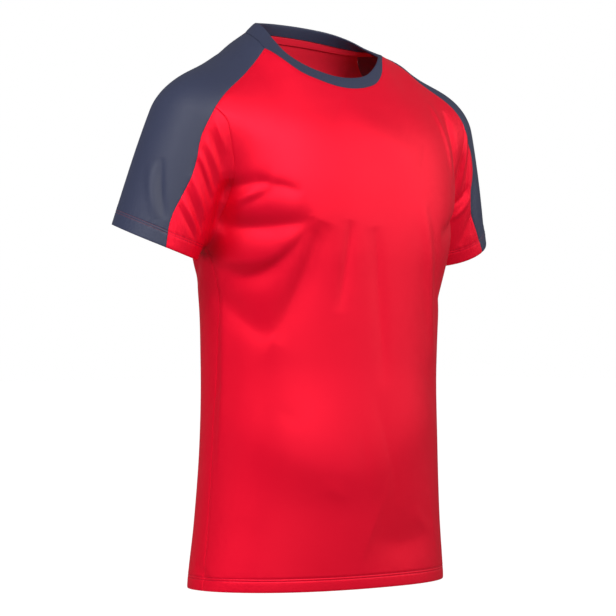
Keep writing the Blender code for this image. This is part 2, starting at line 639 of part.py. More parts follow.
def cloth_material(name, colour):
    material = bpy.data.materials.new(name)
    material.use_nodes = True
    shader = material.node_tree.nodes["Principled BSDF"]
    shader.inputs["Base Color"].default_value = (*colour, 1)
    shader.inputs["Roughness"].default_value = ROUGHNESS
    shader.inputs["Metallic"].default_value = 0.0
    return material


def build():
    for thing in list(bpy.data.objects):
        bpy.data.objects.remove(thing, do_unlink=True)
    collection = bpy.data.collections.new(GARMENT)
    bpy.context.scene.collection.children.link(collection)

    neck = neck_seams()
    arms = {side: arm_seams(side, neck) for side in (-1, 1)}
    right, left = arms[-1], arms[1]

    front = body_grid(chain(right["side"], right["armhole_front"], right["raglan_front"]),
                      chain(left["side"], left["armhole_front"], left["raglan_front"]),
                      neck["front"], 0.0, STEPS["front"])
    back = body_grid(chain(left["side"], left["armhole_back"], left["raglan_back"]),
                     chain(right["side"], right["armhole_back"], right["raglan_back"]),
                     neck["back"], 180.0, STEPS["back"])
    body_sewn = ("last", "start", "end")
    cloth_piece("front_panel", front, body_sewn, cloth_material("front_red", RED), collection)
    cloth_piece("back_panel", back, body_sewn, cloth_material("back_red", RED), collection)

    tops = {}
    for side, word in ((-1, "right"), (1, "left")):
        tops[side] = top = top_grid(side, arms[side], neck[word])
        under = under_grid(side, arms[side])
        sewn = ("first", "start", "end")
        cloth_piece(f"{word}_sleeve_top", top, sewn, cloth_material(f"{word}_navy", NAVY), collection)
        cloth_piece(f"{word}_sleeve_under", under, sewn, cloth_material(f"{word}_red", RED), collection)

    ring = np.vstack([neck[run][:-1] for run in ("front", "left", "back", "right")])
    band_piece(ring, cloth_material("band_navy", NAVY), collection)
    tape_piece(back, tops[1], tops[-1], cloth_material("tape_red", RED), collection)


build()
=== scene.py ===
import math

import bpy
import numpy as np
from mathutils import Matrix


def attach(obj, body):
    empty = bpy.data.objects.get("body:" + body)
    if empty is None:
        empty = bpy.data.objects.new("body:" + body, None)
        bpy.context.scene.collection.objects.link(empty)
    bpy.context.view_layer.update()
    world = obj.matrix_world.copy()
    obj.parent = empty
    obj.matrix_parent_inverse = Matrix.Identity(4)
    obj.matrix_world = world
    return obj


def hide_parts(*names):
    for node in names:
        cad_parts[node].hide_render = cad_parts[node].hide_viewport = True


# Football jersey, filled out as if worn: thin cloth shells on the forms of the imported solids.
# Metres. +X is the wearer's left, -Y the front, +Z up, the origin between the shoulders at the neck.

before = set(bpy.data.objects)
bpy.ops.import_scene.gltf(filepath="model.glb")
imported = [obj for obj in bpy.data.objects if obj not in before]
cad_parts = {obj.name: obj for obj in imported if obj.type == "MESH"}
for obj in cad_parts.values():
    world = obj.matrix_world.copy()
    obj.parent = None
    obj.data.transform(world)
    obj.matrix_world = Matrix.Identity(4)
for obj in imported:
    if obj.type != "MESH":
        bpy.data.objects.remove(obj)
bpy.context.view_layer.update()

# camera, light and floor

view = {
    "eye": (-2.3415, -2.6005, -0.370),
    "turn": 42.0,            # degrees to the wearer's right of the front
    "lens": 161.6,
    "sensor": 36.0,
    "shift": (-0.0049, 0.0476),
    "clip": (0.05, 60.0),
}

lights = {
    # name: place, aimed at, width, height, watts, whether the cloth's sheen shows it
    "left": ((-2.4, -0.95, 1.50), (0.0, 0.0, 0.0), 1.6, 1.2, 46.0, True),
    "front": ((-0.3, -2.75, 1.40), (0.0, 0.0, 0.0), 2.2, 1.2, 60.0, True),
    "low": ((-0.5, -2.9, 0.30), (0.0, 0.0, -0.35), 2.2, 1.4, 15.0, True),
    "right": ((2.2, -1.8, 0.45), (0.0, 0.0, -0.20), 1.8, 1.4, 22.0, True),
    "side": ((-2.5, 0.9, -0.10), (0.0, 0.0, -0.35), 1.4, 1.6, 44.0, False),
}

studio = {
    "floorLevel": -1.02,
    "floorReach": 30.0,
    "paper": (0.22, 0.22, 0.22),
    "paperGlow": 0.98,                   # to the camera alone
    "sky": (0.19, 1.0),                  # its strength on the cloth, and to the camera
}


# A level camera, its view moved to the jersey by the lens shift.
def addCamera():
    data = bpy.data.cameras.new("camera")
    data.lens = view["lens"]
    data.sensor_width = view["sensor"]
    data.shift_x, data.shift_y = view["shift"]
    data.clip_start, data.clip_end = view["clip"]
    camera = bpy.data.objects.new("camera", data)
    camera.location = view["eye"]
    camera.rotation_euler = (math.radians(90), 0, math.radians(-view["turn"]))
    bpy.context.scene.collection.objects.link(camera)
    bpy.context.scene.camera = camera


# Soft rectangular lamps, each turned from its place to the point that it is aimed at.
def addLights():
    for name, (place, target, width, height, watts, glossy) in lights.items():
        data = bpy.data.lights.new(name, "AREA")
        data.shape, data.size, data.size_y = "RECTANGLE", width, height
        data.energy = watts
        lamp = bpy.data.objects.new(name, data)
        lamp.location = place
        aim = np.array(target) - np.array(place)
        tilt = math.acos(-aim[2] / np.linalg.norm(aim))
        lamp.rotation_euler = (tilt, 0, math.atan2(-aim[0], aim[1]))
        lamp.visible_camera = False
        lamp.visible_glossy = glossy
        bpy.context.scene.collection.objects.link(lamp)


# A value that is high where the camera looks straight at it, and low for the light on the cloth.
def cameraOnly(tree, low, high):
    path = tree.nodes.new("ShaderNodeLightPath")
    strength = tree.nodes.new("ShaderNodeMapRange")
    tree.links.new(path.outputs["Is Camera Ray"], strength.inputs["Value"])
    strength.inputs["To Min"].default_value = low
    strength.inputs["To Max"].default_value = high
    return strength.outputs["Result"]


# A pale sky and one wide sheet of paper below the jersey.
def addStage():
    world = bpy.data.worlds.new("studio")
    world.use_nodes = True
    background = world.node_tree.nodes["Background"]
    strength = cameraOnly(world.node_tree, *studio["sky"])
    world.node_tree.links.new(strength, background.inputs["Strength"])
    background.inputs["Color"].default_value = (1, 1, 1, 1)
    bpy.context.scene.world = world

    paper = bpy.data.materials.new("paper_floor")
    paper.use_nodes = True
    tree = paper.node_tree
    tree.nodes.clear()
    diffuse = tree.nodes.new("ShaderNodeBsdfDiffuse")
    diffuse.inputs["Color"].default_value = (*studio["paper"], 1)
    glow = tree.nodes.new("ShaderNodeEmission")
    tree.links.new(cameraOnly(tree, 0.0, studio["paperGlow"]), glow.inputs["Strength"])
    both = tree.nodes.new("ShaderNodeAddShader")
    output = tree.nodes.new("ShaderNodeOutputMaterial")
    tree.links.new(diffuse.outputs[0], both.inputs[0])
    tree.links.new(glow.outputs[0], both.inputs[1])
    tree.links.new(both.outputs[0], output.inputs[0])
    reach, level = studio["floorReach"], studio["floorLevel"]
    mesh = bpy.data.meshes.new("floor")
    mesh.from_pydata([(-reach, -reach, level), (reach, -reach, level), (reach, reach, level),
                      (-reach, reach, level)], [], [(0, 1, 2, 3)])
    mesh.materials.append(paper)
    floor = bpy.data.objects.new("floor", mesh)
    bpy.context.scene.collection.objects.link(floor)


addCamera()
addLights()
addStage()
bpy.context.scene.view_settings.view_transform = "Standard"
print("camera, lights and floor are in")

# the form under the cloth: body sections blended with two sleeves

body = {
    "sections": np.array([
        # level  halfWidth  front    back   squareness
        (-0.760, 0.1905, -0.1205, 0.0955, 2.2),
        (-0.680, 0.1886, -0.1215, 0.0965, 2.2),
        (-0.600, 0.1772, -0.1258, 0.0968, 2.2),
        (-0.500, 0.1682, -0.1300, 0.0960, 2.2),
        (-0.400, 0.1653, -0.1318, 0.0978, 2.2),
        (-0.300, 0.1717, -0.1345, 0.0965, 2.3),
        (-0.260, 0.1785, -0.1357, 0.0947, 2.50),
        (-0.220, 0.1838, -0.1352, 0.0909, 2.65),
        (-0.160, 0.1930, -0.1300, 0.0905, 2.55),
        (-0.110, 0.1995, -0.1170, 0.0912, 2.35),
        (-0.080, 0.1990, -0.1020, 0.0900, 2.2),
        (-0.060, 0.1925, -0.0900, 0.0860, 2.1),
        (-0.045, 0.1815, -0.0815, 0.0825, 2.0),
        (-0.031, 0.1625, -0.0740, 0.0780, 2.0),
        (-0.012, 0.1290, -0.0660, 0.0700, 2.0),
        (+0.003, 0.0985, -0.0600, 0.0620, 2.0),
        (+0.015, 0.0855, -0.0550, 0.0550, 2.0),
        (+0.030, 0.0790, -0.0500, 0.0470, 2.0),
        (+0.060, 0.0730, -0.0450, 0.0400, 2.0),
    ]),
    "hem": -0.679,
    # metres of height per metre across, the levels where it grows, and how far out it begins and ends
    "shoulderLean": (0.004, (-0.24, -0.06), (0.10, 0.17)),
    "neckLean": (0.080, (-0.10, -0.02), (0.085, 0.135)),
}

sleeve = {
    "widths": np.array([
        # along   outer   inner   frontAndBack
        (-0.050, 0.0650, 0.0660, 0.0635),
        (+0.000, 0.0655, 0.0660, 0.0635),
        (+0.050, 0.0633, 0.0640, 0.0615),
        (+0.100, 0.0590, 0.0600, 0.0590),
        (+0.151, 0.0537, 0.0560, 0.0572),
        (+0.300, 0.0500, 0.0520, 0.0540),
    ]),
    "ball": (0.1903, -0.0081, -0.1164),
    "slope": (0.382, 0.113, -0.920),
    "cap": 0.0690,
    # side: length, how much lower the cuff hangs on its outer side, and in front
    "cuffs": {-1: (0.1510, 0.0059, 0.0086), +1: (0.1490, -0.0010, 0.0045)},
    "blend": (0.024, 0.040),             # how softly it joins the body, at the armpit and on top
    "blendLevels": (-0.20, -0.10),
}


# Smooth cubic (Hermite) through the rows of a table, its slopes the mean of those on both sides; the
# first column is the key.
def readCurve(table, at):
    keys, values = table[:, 0], table[:, 1:]
    slopes = np.gradient(values, keys, axis=0)
    at = np.clip(at, keys[0], keys[-1])
    row = np.clip(np.searchsorted(keys, at) - 1, 0, len(keys) - 2)
    step = keys[row + 1] - keys[row]
    t = ((at - keys[row]) / step)[:, None]
    step = step[:, None]
    return ((2 * t**3 - 3 * t**2 + 1) * values[row] + (t**3 - 2 * t**2 + t) * step * slopes[row]
            + (3 * t**2 - 2 * t**3) * values[row + 1] + (t**3 - t**2) * step * slopes[row + 1])


# Smooth step 3 t squared - 2 t cubed, from 0 at low to 1 at high.
def ease(value, low, high):
    t = np.clip((value - low) / (high - low), 0, 1)
    return t * t * (3 - 2 * t)


# Half width, half depth, middle and squareness of the body at each level.
def bodySection(level):
    half, front, back, square = readCurve(body["sections"], level).T
    return half, (back - front) / 2, (back + front) / 2, square


# Distance from the body's level section, the superellipse |x / half| to the power of its squareness
# + |y / deep| to the same = 1: the way to the axis times (1 - 1 / size), size being 1 on the cloth.
def bodyDistance(points):
    half, deep, middle, square = bodySection(points[:, 2])
    x, y = points[:, 0], points[:, 1] - middle
    size = ((np.abs(x) / half) ** square + (np.abs(y) / deep) ** square + 1e-12) ** (1 / square)
    return (1 - 1 / size) * np.hypot(x, y)


# Shoulder ball, then unit directions along the arm, outwards and to the front.
def armFrame(side):
    mirror = np.array((side, 1, 1))
    along = np.array(sleeve["slope"]) * mirror
    along /= np.linalg.norm(along)
    out = np.array((side, 0, 0)) - along * (along[0] * side)
    out /= np.linalg.norm(out)
    front = np.cross(along, out)
    return np.array(sleeve["ball"]) * mirror, along, out, front * -np.sign(front[1])


# The same distance from a tapered tube with an elliptical section, closed by a ball at the shoulder.
def sleeveDistance(points, side):
    ball, along, out, front = armFrame(side)
    offset = points - ball
    s, u, w = offset @ along, offset @ out, offset @ front
    outer, inner, deep = readCurve(sleeve["widths"], s).T
    above = np.minimum(s, 0)
    wide = np.where(u > 0, outer, inner)
    size = np.sqrt((u / wide) ** 2 + (w / deep) ** 2 + (above / sleeve["cap"]) ** 2 + 1e-12)
    return (1 - 1 / size) * np.sqrt(u * u + w * w + above * above)


# The smaller of two distances, rounded off where they differ by less than the reach:
# b + (a - b) h - reach h (1 - h), where h runs from 0 to 1 as a falls below b.
def smoothUnion(a, b, reach):
    h = np.clip(0.5 + 0.5 * (b - a) / reach, 0, 1)
    return b + (a - b) * h - reach * h * (1 - h)


# Below zero inside the worn jersey: body and sleeves run into each other smoothly. The shoulders and
# the neck lean, each level moved up or down in proportion to its place across.
def formDistance(points):
    points = points.copy()
    across, level = np.abs(points[:, 0]), points[:, 2].copy()
    lean, levels, out = body["shoulderLean"]
    shoulder = lean * ease(level, *levels) * ease(across, *out)
    lean, levels, out = body["neckLean"]
    neck = lean * ease(level, *levels) * (1 - ease(across, *out))
    points[:, 2] -= (shoulder - neck) * points[:, 0]
    low, high = sleeve["blend"]
    reach = low + (high - low) * ease(level, *sleeve["blendLevels"])
    form = bodyDistance(points)
    for side in (-1, 1):
        form = smoothUnion(form, sleeveDistance(points, side), reach)
    return form


# Gradient of the distance, by small differences.
def steepest(points):
    nudge = 1e-4
    columns = []
    for axis in np.eye(3) * nudge:
        columns.append((formDistance(points + axis) - formDistance(points - axis)) / (2 * nudge))
    return np.stack(columns, axis=1)


# Points moved onto the form by Newton's steps: minus distance times gradient over gradient squared.
def lay(points, rounds=12, longest=0.02):
    shape = np.shape(points)
    laid = np.array(points, float).reshape(-1, 3)
    for _ in range(rounds):
        slope = steepest(laid)
        move = (formDistance(laid) / np.maximum((slope**2).sum(1), 1e-6))[:, None] * slope
        length = np.linalg.norm(move, axis=1, keepdims=True)
        laid -= move * np.minimum(1, longest / np.maximum(length, 1e-9))
    return laid.reshape(shape)


# The form's unit normals, its gradient divided by the gradient's length.
def outward(points):
    slope = steepest(points.reshape(-1, 3))
    slope /= np.linalg.norm(slope, axis=1, keepdims=True)
    return slope.reshape(points.shape)


# Point of the body section at a bearing from the front towards the wearer's right.
def bodyPoint(degrees, level):
    half, deep, middle, square = bodySection(level)
    bearing = np.radians(degrees)
    x, y = -np.sin(bearing), -np.cos(bearing)
    size = ((np.abs(x) / half) ** square + (np.abs(y) / deep) ** square) ** (-1 / square)
    return np.stack([size * x, middle + size * y, level], axis=1)


# Point of the sleeve at a bearing from its outer side round through the front.
def sleevePoint(side, degrees, alongArm):
    ball, along, out, front = armFrame(side)
    bearing = np.radians(degrees)
    u, w = np.cos(bearing), np.sin(bearing)
    outer, inner, deep = readCurve(sleeve["widths"], alongArm).T
    size = 1 / np.sqrt((u / np.where(u > 0, outer, inner)) ** 2 + (w / deep) ** 2)
    return ball + alongArm[:, None] * along + (size * u)[:, None] * out + (size * w)[:, None] * front


# seams: lines near the form that are laid on it

neckSeam = {
    "rightFront": (-0.1135, -0.0410, -0.0140),
    "leftFront": (0.0990, -0.0240, -0.0050),
    "leftBack": (0.0940, 0.0130, 0.0030),
    "rightBack": (-0.0920, 0.0230, 0.0130),
    "front": [(-0.0890, -0.0735, -0.0400), (-0.0610, -0.0845, -0.0535), (-0.0303, -0.0905, -0.0610),
              (0.0000, -0.0905, -0.0608), (0.0300, -0.0850, -0.0540), (0.0490, -0.0760, -0.0435),
              (0.0614, -0.0668, -0.0320), (0.0720, -0.0560, -0.0180), (0.0870, -0.0400, -0.0100)],
    "back": [(0.0780, 0.0320, 0.0070), (0.0480, 0.0490, 0.0130), (0.0000, 0.0560, 0.0160),
             (-0.0480, 0.0500, 0.0160), (-0.0740, 0.0390, 0.0150)],
    "left": [(0.0985, -0.0060, 0.0000)],
    "right": [(-0.1030, 0.0010, 0.0070), (-0.1100, -0.0200, 0.0000)],
}

armSeam = {
    "joinFront": {-1: (-0.2120, -0.0645, -0.0940), 1: (0.2035, -0.0690, -0.0900)},
    "joinBack": {-1: (-0.2080, 0.0560, -0.0940), 1: (0.2080, 0.0560, -0.0900)},
    "raglanFront": {
        -1: [(-0.1370, -0.0467, -0.0353), (-0.1625, -0.0537, -0.0549), (-0.1955, -0.0622, -0.0773)],
        1: [(0.1300, -0.0400, -0.0320), (0.1600, -0.0520, -0.0490), (0.1870, -0.0620, -0.0680)],
    },
    "raglanBack": [(0.1250, 0.0440, -0.0200), (0.1600, 0.0520, -0.0440), (0.1880, 0.0560, -0.0700)],
    "armpit": (0.1830, -0.0080, -0.2550),
    "armholeFront": [(0.2063, -0.0705, -0.1012), (0.1999, -0.0743, -0.1122), (0.1944, -0.0744, -0.1407),
                     (0.1868, -0.0706, -0.1636), (0.1840, -0.0620, -0.1880), (0.1830, -0.0450, -0.2200),
                     (0.1828, -0.0250, -0.2450)],
    "armholeBack": [(0.2000, 0.0640, -0.1150), (0.1930, 0.0650, -0.1450), (0.1870, 0.0590, -0.1750),
                    (0.1840, 0.0450, -0.2080), (0.1828, 0.0200, -0.2420)],
    "sleeveLine": np.array([
        # level   rightX   rightY   leftX   leftY    backX   backY
        (-0.105, -0.2190, -0.0645, 0.2080, -0.0710, 0.2150, 0.0565),
        (-0.131, -0.2307, -0.0600, 0.2240, -0.0635, 0.2300, 0.0560),
        (-0.157, -0.2355, -0.0582, 0.2296, -0.0609, 0.2370, 0.0550),
        (-0.177, -0.2411, -0.0557, 0.2268, -0.0607, 0.2440, 0.0540),
        (-0.202, -0.2524, -0.0504, 0.2310, -0.0570, 0.2530, 0.0530),
        (-0.220, -0.2612, -0.0464, 0.2385, -0.0540, 0.2590, 0.0520),
        (-0.238, -0.2669, -0.0440, 0.2500, -0.0505, 0.2650, 0.0510),
    ]),
    "cuffFront": {-1: 69.0, 1: 74.0},    # degrees round the arm from its outer side to the line
    "cuffBack": 62.0,
    "side": [(0.1756, -0.0179, -0.2984), (0.1734, -0.0176, -0.3326), (0.1713, -0.0133, -0.3855),
             (0.1701, -0.0091, -0.4466), (0.1708, -0.0070, -0.5078), (0.1733, -0.0072, -0.5688),
             (0.1800, -0.0100, -0.6300)],
    "sideHem": (0.1845, -0.0118, -0.679),
    # the shoulder's ridge: its tip, out and up from the ball, the lift halfway to it from the neck, and
    # a point on the sleeve, along and out from the ball
    "ridge": {"tip": 0.045, "lift": 0.004, "along": 0.075, "out": 0.062},
}

# grid steps along each seam, shared by the pieces that meet there
steps = {"side": 18, "armhole": 10, "raglan": 8, "sleeve": 14, "front": 26, "back": 20, "shoulder": 10}
bodyBreaks = (-0.250, -0.125)            # levels in the body's middle, where armhole and raglan begin
tautRounds = {"body": 20, "top": 12, "under": 90}
layRounds = {"taut": 2, "fold": 6, "fine": 5}       # where the points are near the form already
curveCuts = 12                           # of each span of a seam, before its even steps
archCuts = 4                             # of each step of a body row, before its even steps


# Catmull-Rom curve from b to c, t of the way along, bent by the points before and after:
# b + (c - a) t / 2 + (2 a - 5 b + 4 c - d) t squared / 2 + (3 b - a - 3 c + d) t cubed / 2.
def catmullRom(a, b, c, d, t):
    return (b + (c - a) * t / 2 + (2 * a - 5 * b + 4 * c - d) * t**2 / 2
            + (3 * b - a - 3 * c + d) * t**3 / 2)


# The rows of points with one more at each end, straight on.
def lengthened(points):
    return np.concatenate([2 * points[:1] - points[1:2], points, 2 * points[-1:] - points[-2:-1]])


# The curve through rows of points, each span cut in the same number of parts.
def curveThrough(points, cuts):
    ends = lengthened(np.array(points, float))
    t = (np.arange(cuts) / cuts).reshape(-1, *[1] * (ends.ndim - 1))
    runs = [catmullRom(*near, t) for near in zip(ends, ends[1:], ends[2:], ends[3:])]
    return np.concatenate(runs + [ends[-2:-1]])


# The line cut into a number of steps of the same length.
def evenSteps(line, count):
    along = np.concatenate([[0], np.cumsum(np.linalg.norm(np.diff(line, axis=0), axis=1))])
    at = np.linspace(0, along[-1], count + 1)
    return np.stack([np.interp(at, along, line[:, k]) for k in range(3)], axis=1)


# Smooth line through given points, laid on the form and cut into even steps.
def smoothLine(points, count):
    return lay(evenSteps(lay(curveThrough(points, curveCuts)), count))


# Points of the left side, or the same with x turned round for the right one (side -1).
def mirrored(points, side):
    return [tuple(np.array(point) * (side, 1, 1)) for point in points]


# Points of the cuff at bearings round the arm: length + dipOut cos + dipFront sin of the bearing.
def cuffEdge(side, degrees):
    bearing = np.radians(degrees)
    length, dipOut, dipFront = sleeve["cuffs"][side]
    along = length + dipOut * np.cos(bearing) + dipFront * np.sin(bearing)
    return lay(sleevePoint(side, degrees, along))


# The neck seam in four runs, from the front right corner over the left side and the back.
def neckSeams():
    s = neckSeam
    return {
        "front": smoothLine([s["rightFront"], *s["front"], s["leftFront"]], steps["front"]),
        "left": smoothLine([s["leftFront"], *s["left"], s["leftBack"]], steps["shoulder"]),
        "back": smoothLine([s["leftBack"], *s["back"], s["rightBack"]], steps["back"]),
        "right": smoothLine([s["rightBack"], *s["right"], s["rightFront"]], steps["shoulder"]),
    }


# The seams round one arm: both raglan lines, both halves of the armhole, both sleeve lines.
def armSeams(side, neck):
    s = armSeam
    run = neck["right" if side < 0 else "left"]
    frontCorner, backCorner = (run[-1], run[0]) if side < 0 else (run[0], run[-1])
    frontJoin, backJoin = s["joinFront"][side], s["joinBack"][side]
    armpit = np.array(s["armpit"]) * (side, 1, 1)
    cuff = cuffEdge(side, np.array((s["cuffFront"][side], -s["cuffBack"])))
    x, y = (1, 2) if side < 0 else (3, 4)
    frontLine = s["sleeveLine"][:, (x, y, 0)]
    backLine = s["sleeveLine"][:, (5, 6, 0)] * (side, 1, 1)
    raglanBack = mirrored(s["raglanBack"], side)[::-1]
    sideLine = [np.array(s["sideHem"]) * (side, 1, 1), *mirrored(s["side"], side)[::-1], armpit]
    holeFront = mirrored(s["armholeFront"], side)[::-1]
    holeBack = mirrored(s["armholeBack"], side)[::-1]
    raglanFront = s["raglanFront"][side][::-1]
    return {
        "raglanFront": smoothLine([frontJoin, *raglanFront, frontCorner], steps["raglan"]),
        "raglanBack": smoothLine([backJoin, *raglanBack, backCorner], steps["raglan"]),
        "armholeFront": smoothLine([armpit, *holeFront, frontJoin], steps["armhole"]),
        "armholeBack": smoothLine([armpit, *holeBack, backJoin], steps["armhole"]),
        "sleeveFront": smoothLine([frontJoin, *frontLine, cuff[0]], steps["sleeve"]),
        "sleeveBack": smoothLine([backJoin, *backLine, cuff[1]], steps["sleeve"]),
        "side": smoothLine(sideLine, steps["side"]),
    }


# Lines end to end, each shared point once.
def chain(*lines):
    return np.vstack([lines[0]] + [line[1:] for line in lines[1:]])


# grids of the sewn pieces

# Rows on the form from one side line over a middle line to the other, as laid half ellipses:
# centre + half way across times sin + height of the middle times cos of a turn from -90 to 90 degrees.
def arched(left, middle, right, count):
    bend = np.radians(np.linspace(-90, 90, archCuts * count + 1))[None, :, None]
    centre, across = (left + right)[:, None] / 2, (right - left)[:, None] / 2
    rows = centre + across * np.sin(bend) + (middle[:, None] - centre) * np.cos(bend)
    return np.array([evenSteps(row, count) for row in lay(rows)])


# First and last rows moved to given lines, and the others with them by the cube of their share.
def fitEnds(grid, first, last):
    t = np.linspace(0, 1, len(grid))[:, None, None] ** 3
    return lay(grid + (first - grid[0])[None] * t[::-1] + (last - grid[-1])[None] * t)


# Each inner point moves to the middle of the four round it and back on to the form, many times over.
def taut(grid, rounds):
    for _ in range(rounds):
        middle = (grid[:-2, 1:-1] + grid[2:, 1:-1] + grid[1:-1, :-2] + grid[1:-1, 2:]) / 4
        grid[1:-1, 1:-1] = lay(middle, layRounds["taut"])
    grid[1:-1, 1:-1] = lay(grid[1:-1, 1:-1])
    return grid


# Rows of a body piece from hem to neck; its middle line runs straight up the front or back.
def bodyGrid(left, right, neckLine, bearing, count):
    counts = np.cumsum([0, steps["side"], steps["armhole"], steps["raglan"]])
    neckMiddle = neckLine[count // 2]
    levels = np.interp(np.arange(counts[-1] + 1), counts, (body["hem"], *bodyBreaks, neckMiddle[2]))
    middle = bodyPoint(np.full(len(levels), bearing), levels)
    middle[-1] = neckMiddle
    grid = arched(left, middle, right, count)
    return taut(fitEnds(grid, grid[0], neckLine), tautRounds["body"])


# Rows of a raglan shoulder from the neck to the cuff, from its front line over to its back line.
def topGrid(side, seams, neckRun):
    front = chain(seams["raglanFront"][::-1], seams["sleeveFront"])
    back = chain(seams["raglanBack"][::-1], seams["sleeveBack"])
    count = steps["shoulder"]
    first = neckRun[::-1] if side < 0 else neckRun
    last = cuffEdge(side, np.linspace(armSeam["cuffFront"][side], -armSeam["cuffBack"], count + 1))
    ball, along, out, _ = armFrame(side)
    place = armSeam["ridge"]
    ridgeTop = first[count // 2]
    tip = ball + out * place["tip"] - along * place["tip"]
    before = (ridgeTop + tip) / 2 + (0, 0, place["lift"])
    halfDown = ball + along * place["along"] + out * place["out"]
    ridge = smoothLine([ridgeTop, before, tip, halfDown, last[count // 2]], len(front) - 1)
    return taut(fitEnds(arched(front, ridge, back, count), first, last), tautRounds["top"])


# Rows of an under-sleeve from the armhole to the cuff, as a Coons patch (between both pairs of edges,
# less the one between the corners) drawn taut on the form.
def underGrid(side, seams):
    count = 2 * steps["armhole"]
    first = chain(seams["armholeFront"][::-1], seams["armholeBack"])
    last = cuffEdge(side, np.linspace(armSeam["cuffFront"][side], 360 - armSeam["cuffBack"], count + 1))
    front, back = seams["sleeveFront"], seams["sleeveBack"]
    t = np.linspace(0, 1, steps["sleeve"] + 1)[:, None, None]
    s = np.linspace(0, 1, count + 1)[None, :, None]
    corners = (1 - t) * ((1 - s) * first[0] + s * first[-1]) + t * ((1 - s) * last[0] + s * last[-1])
    grid = (1 - t) * first + t * last + (1 - s) * front[:, None] + s * back[:, None] - corners
    return taut(grid, tautRounds["under"])


# the folds

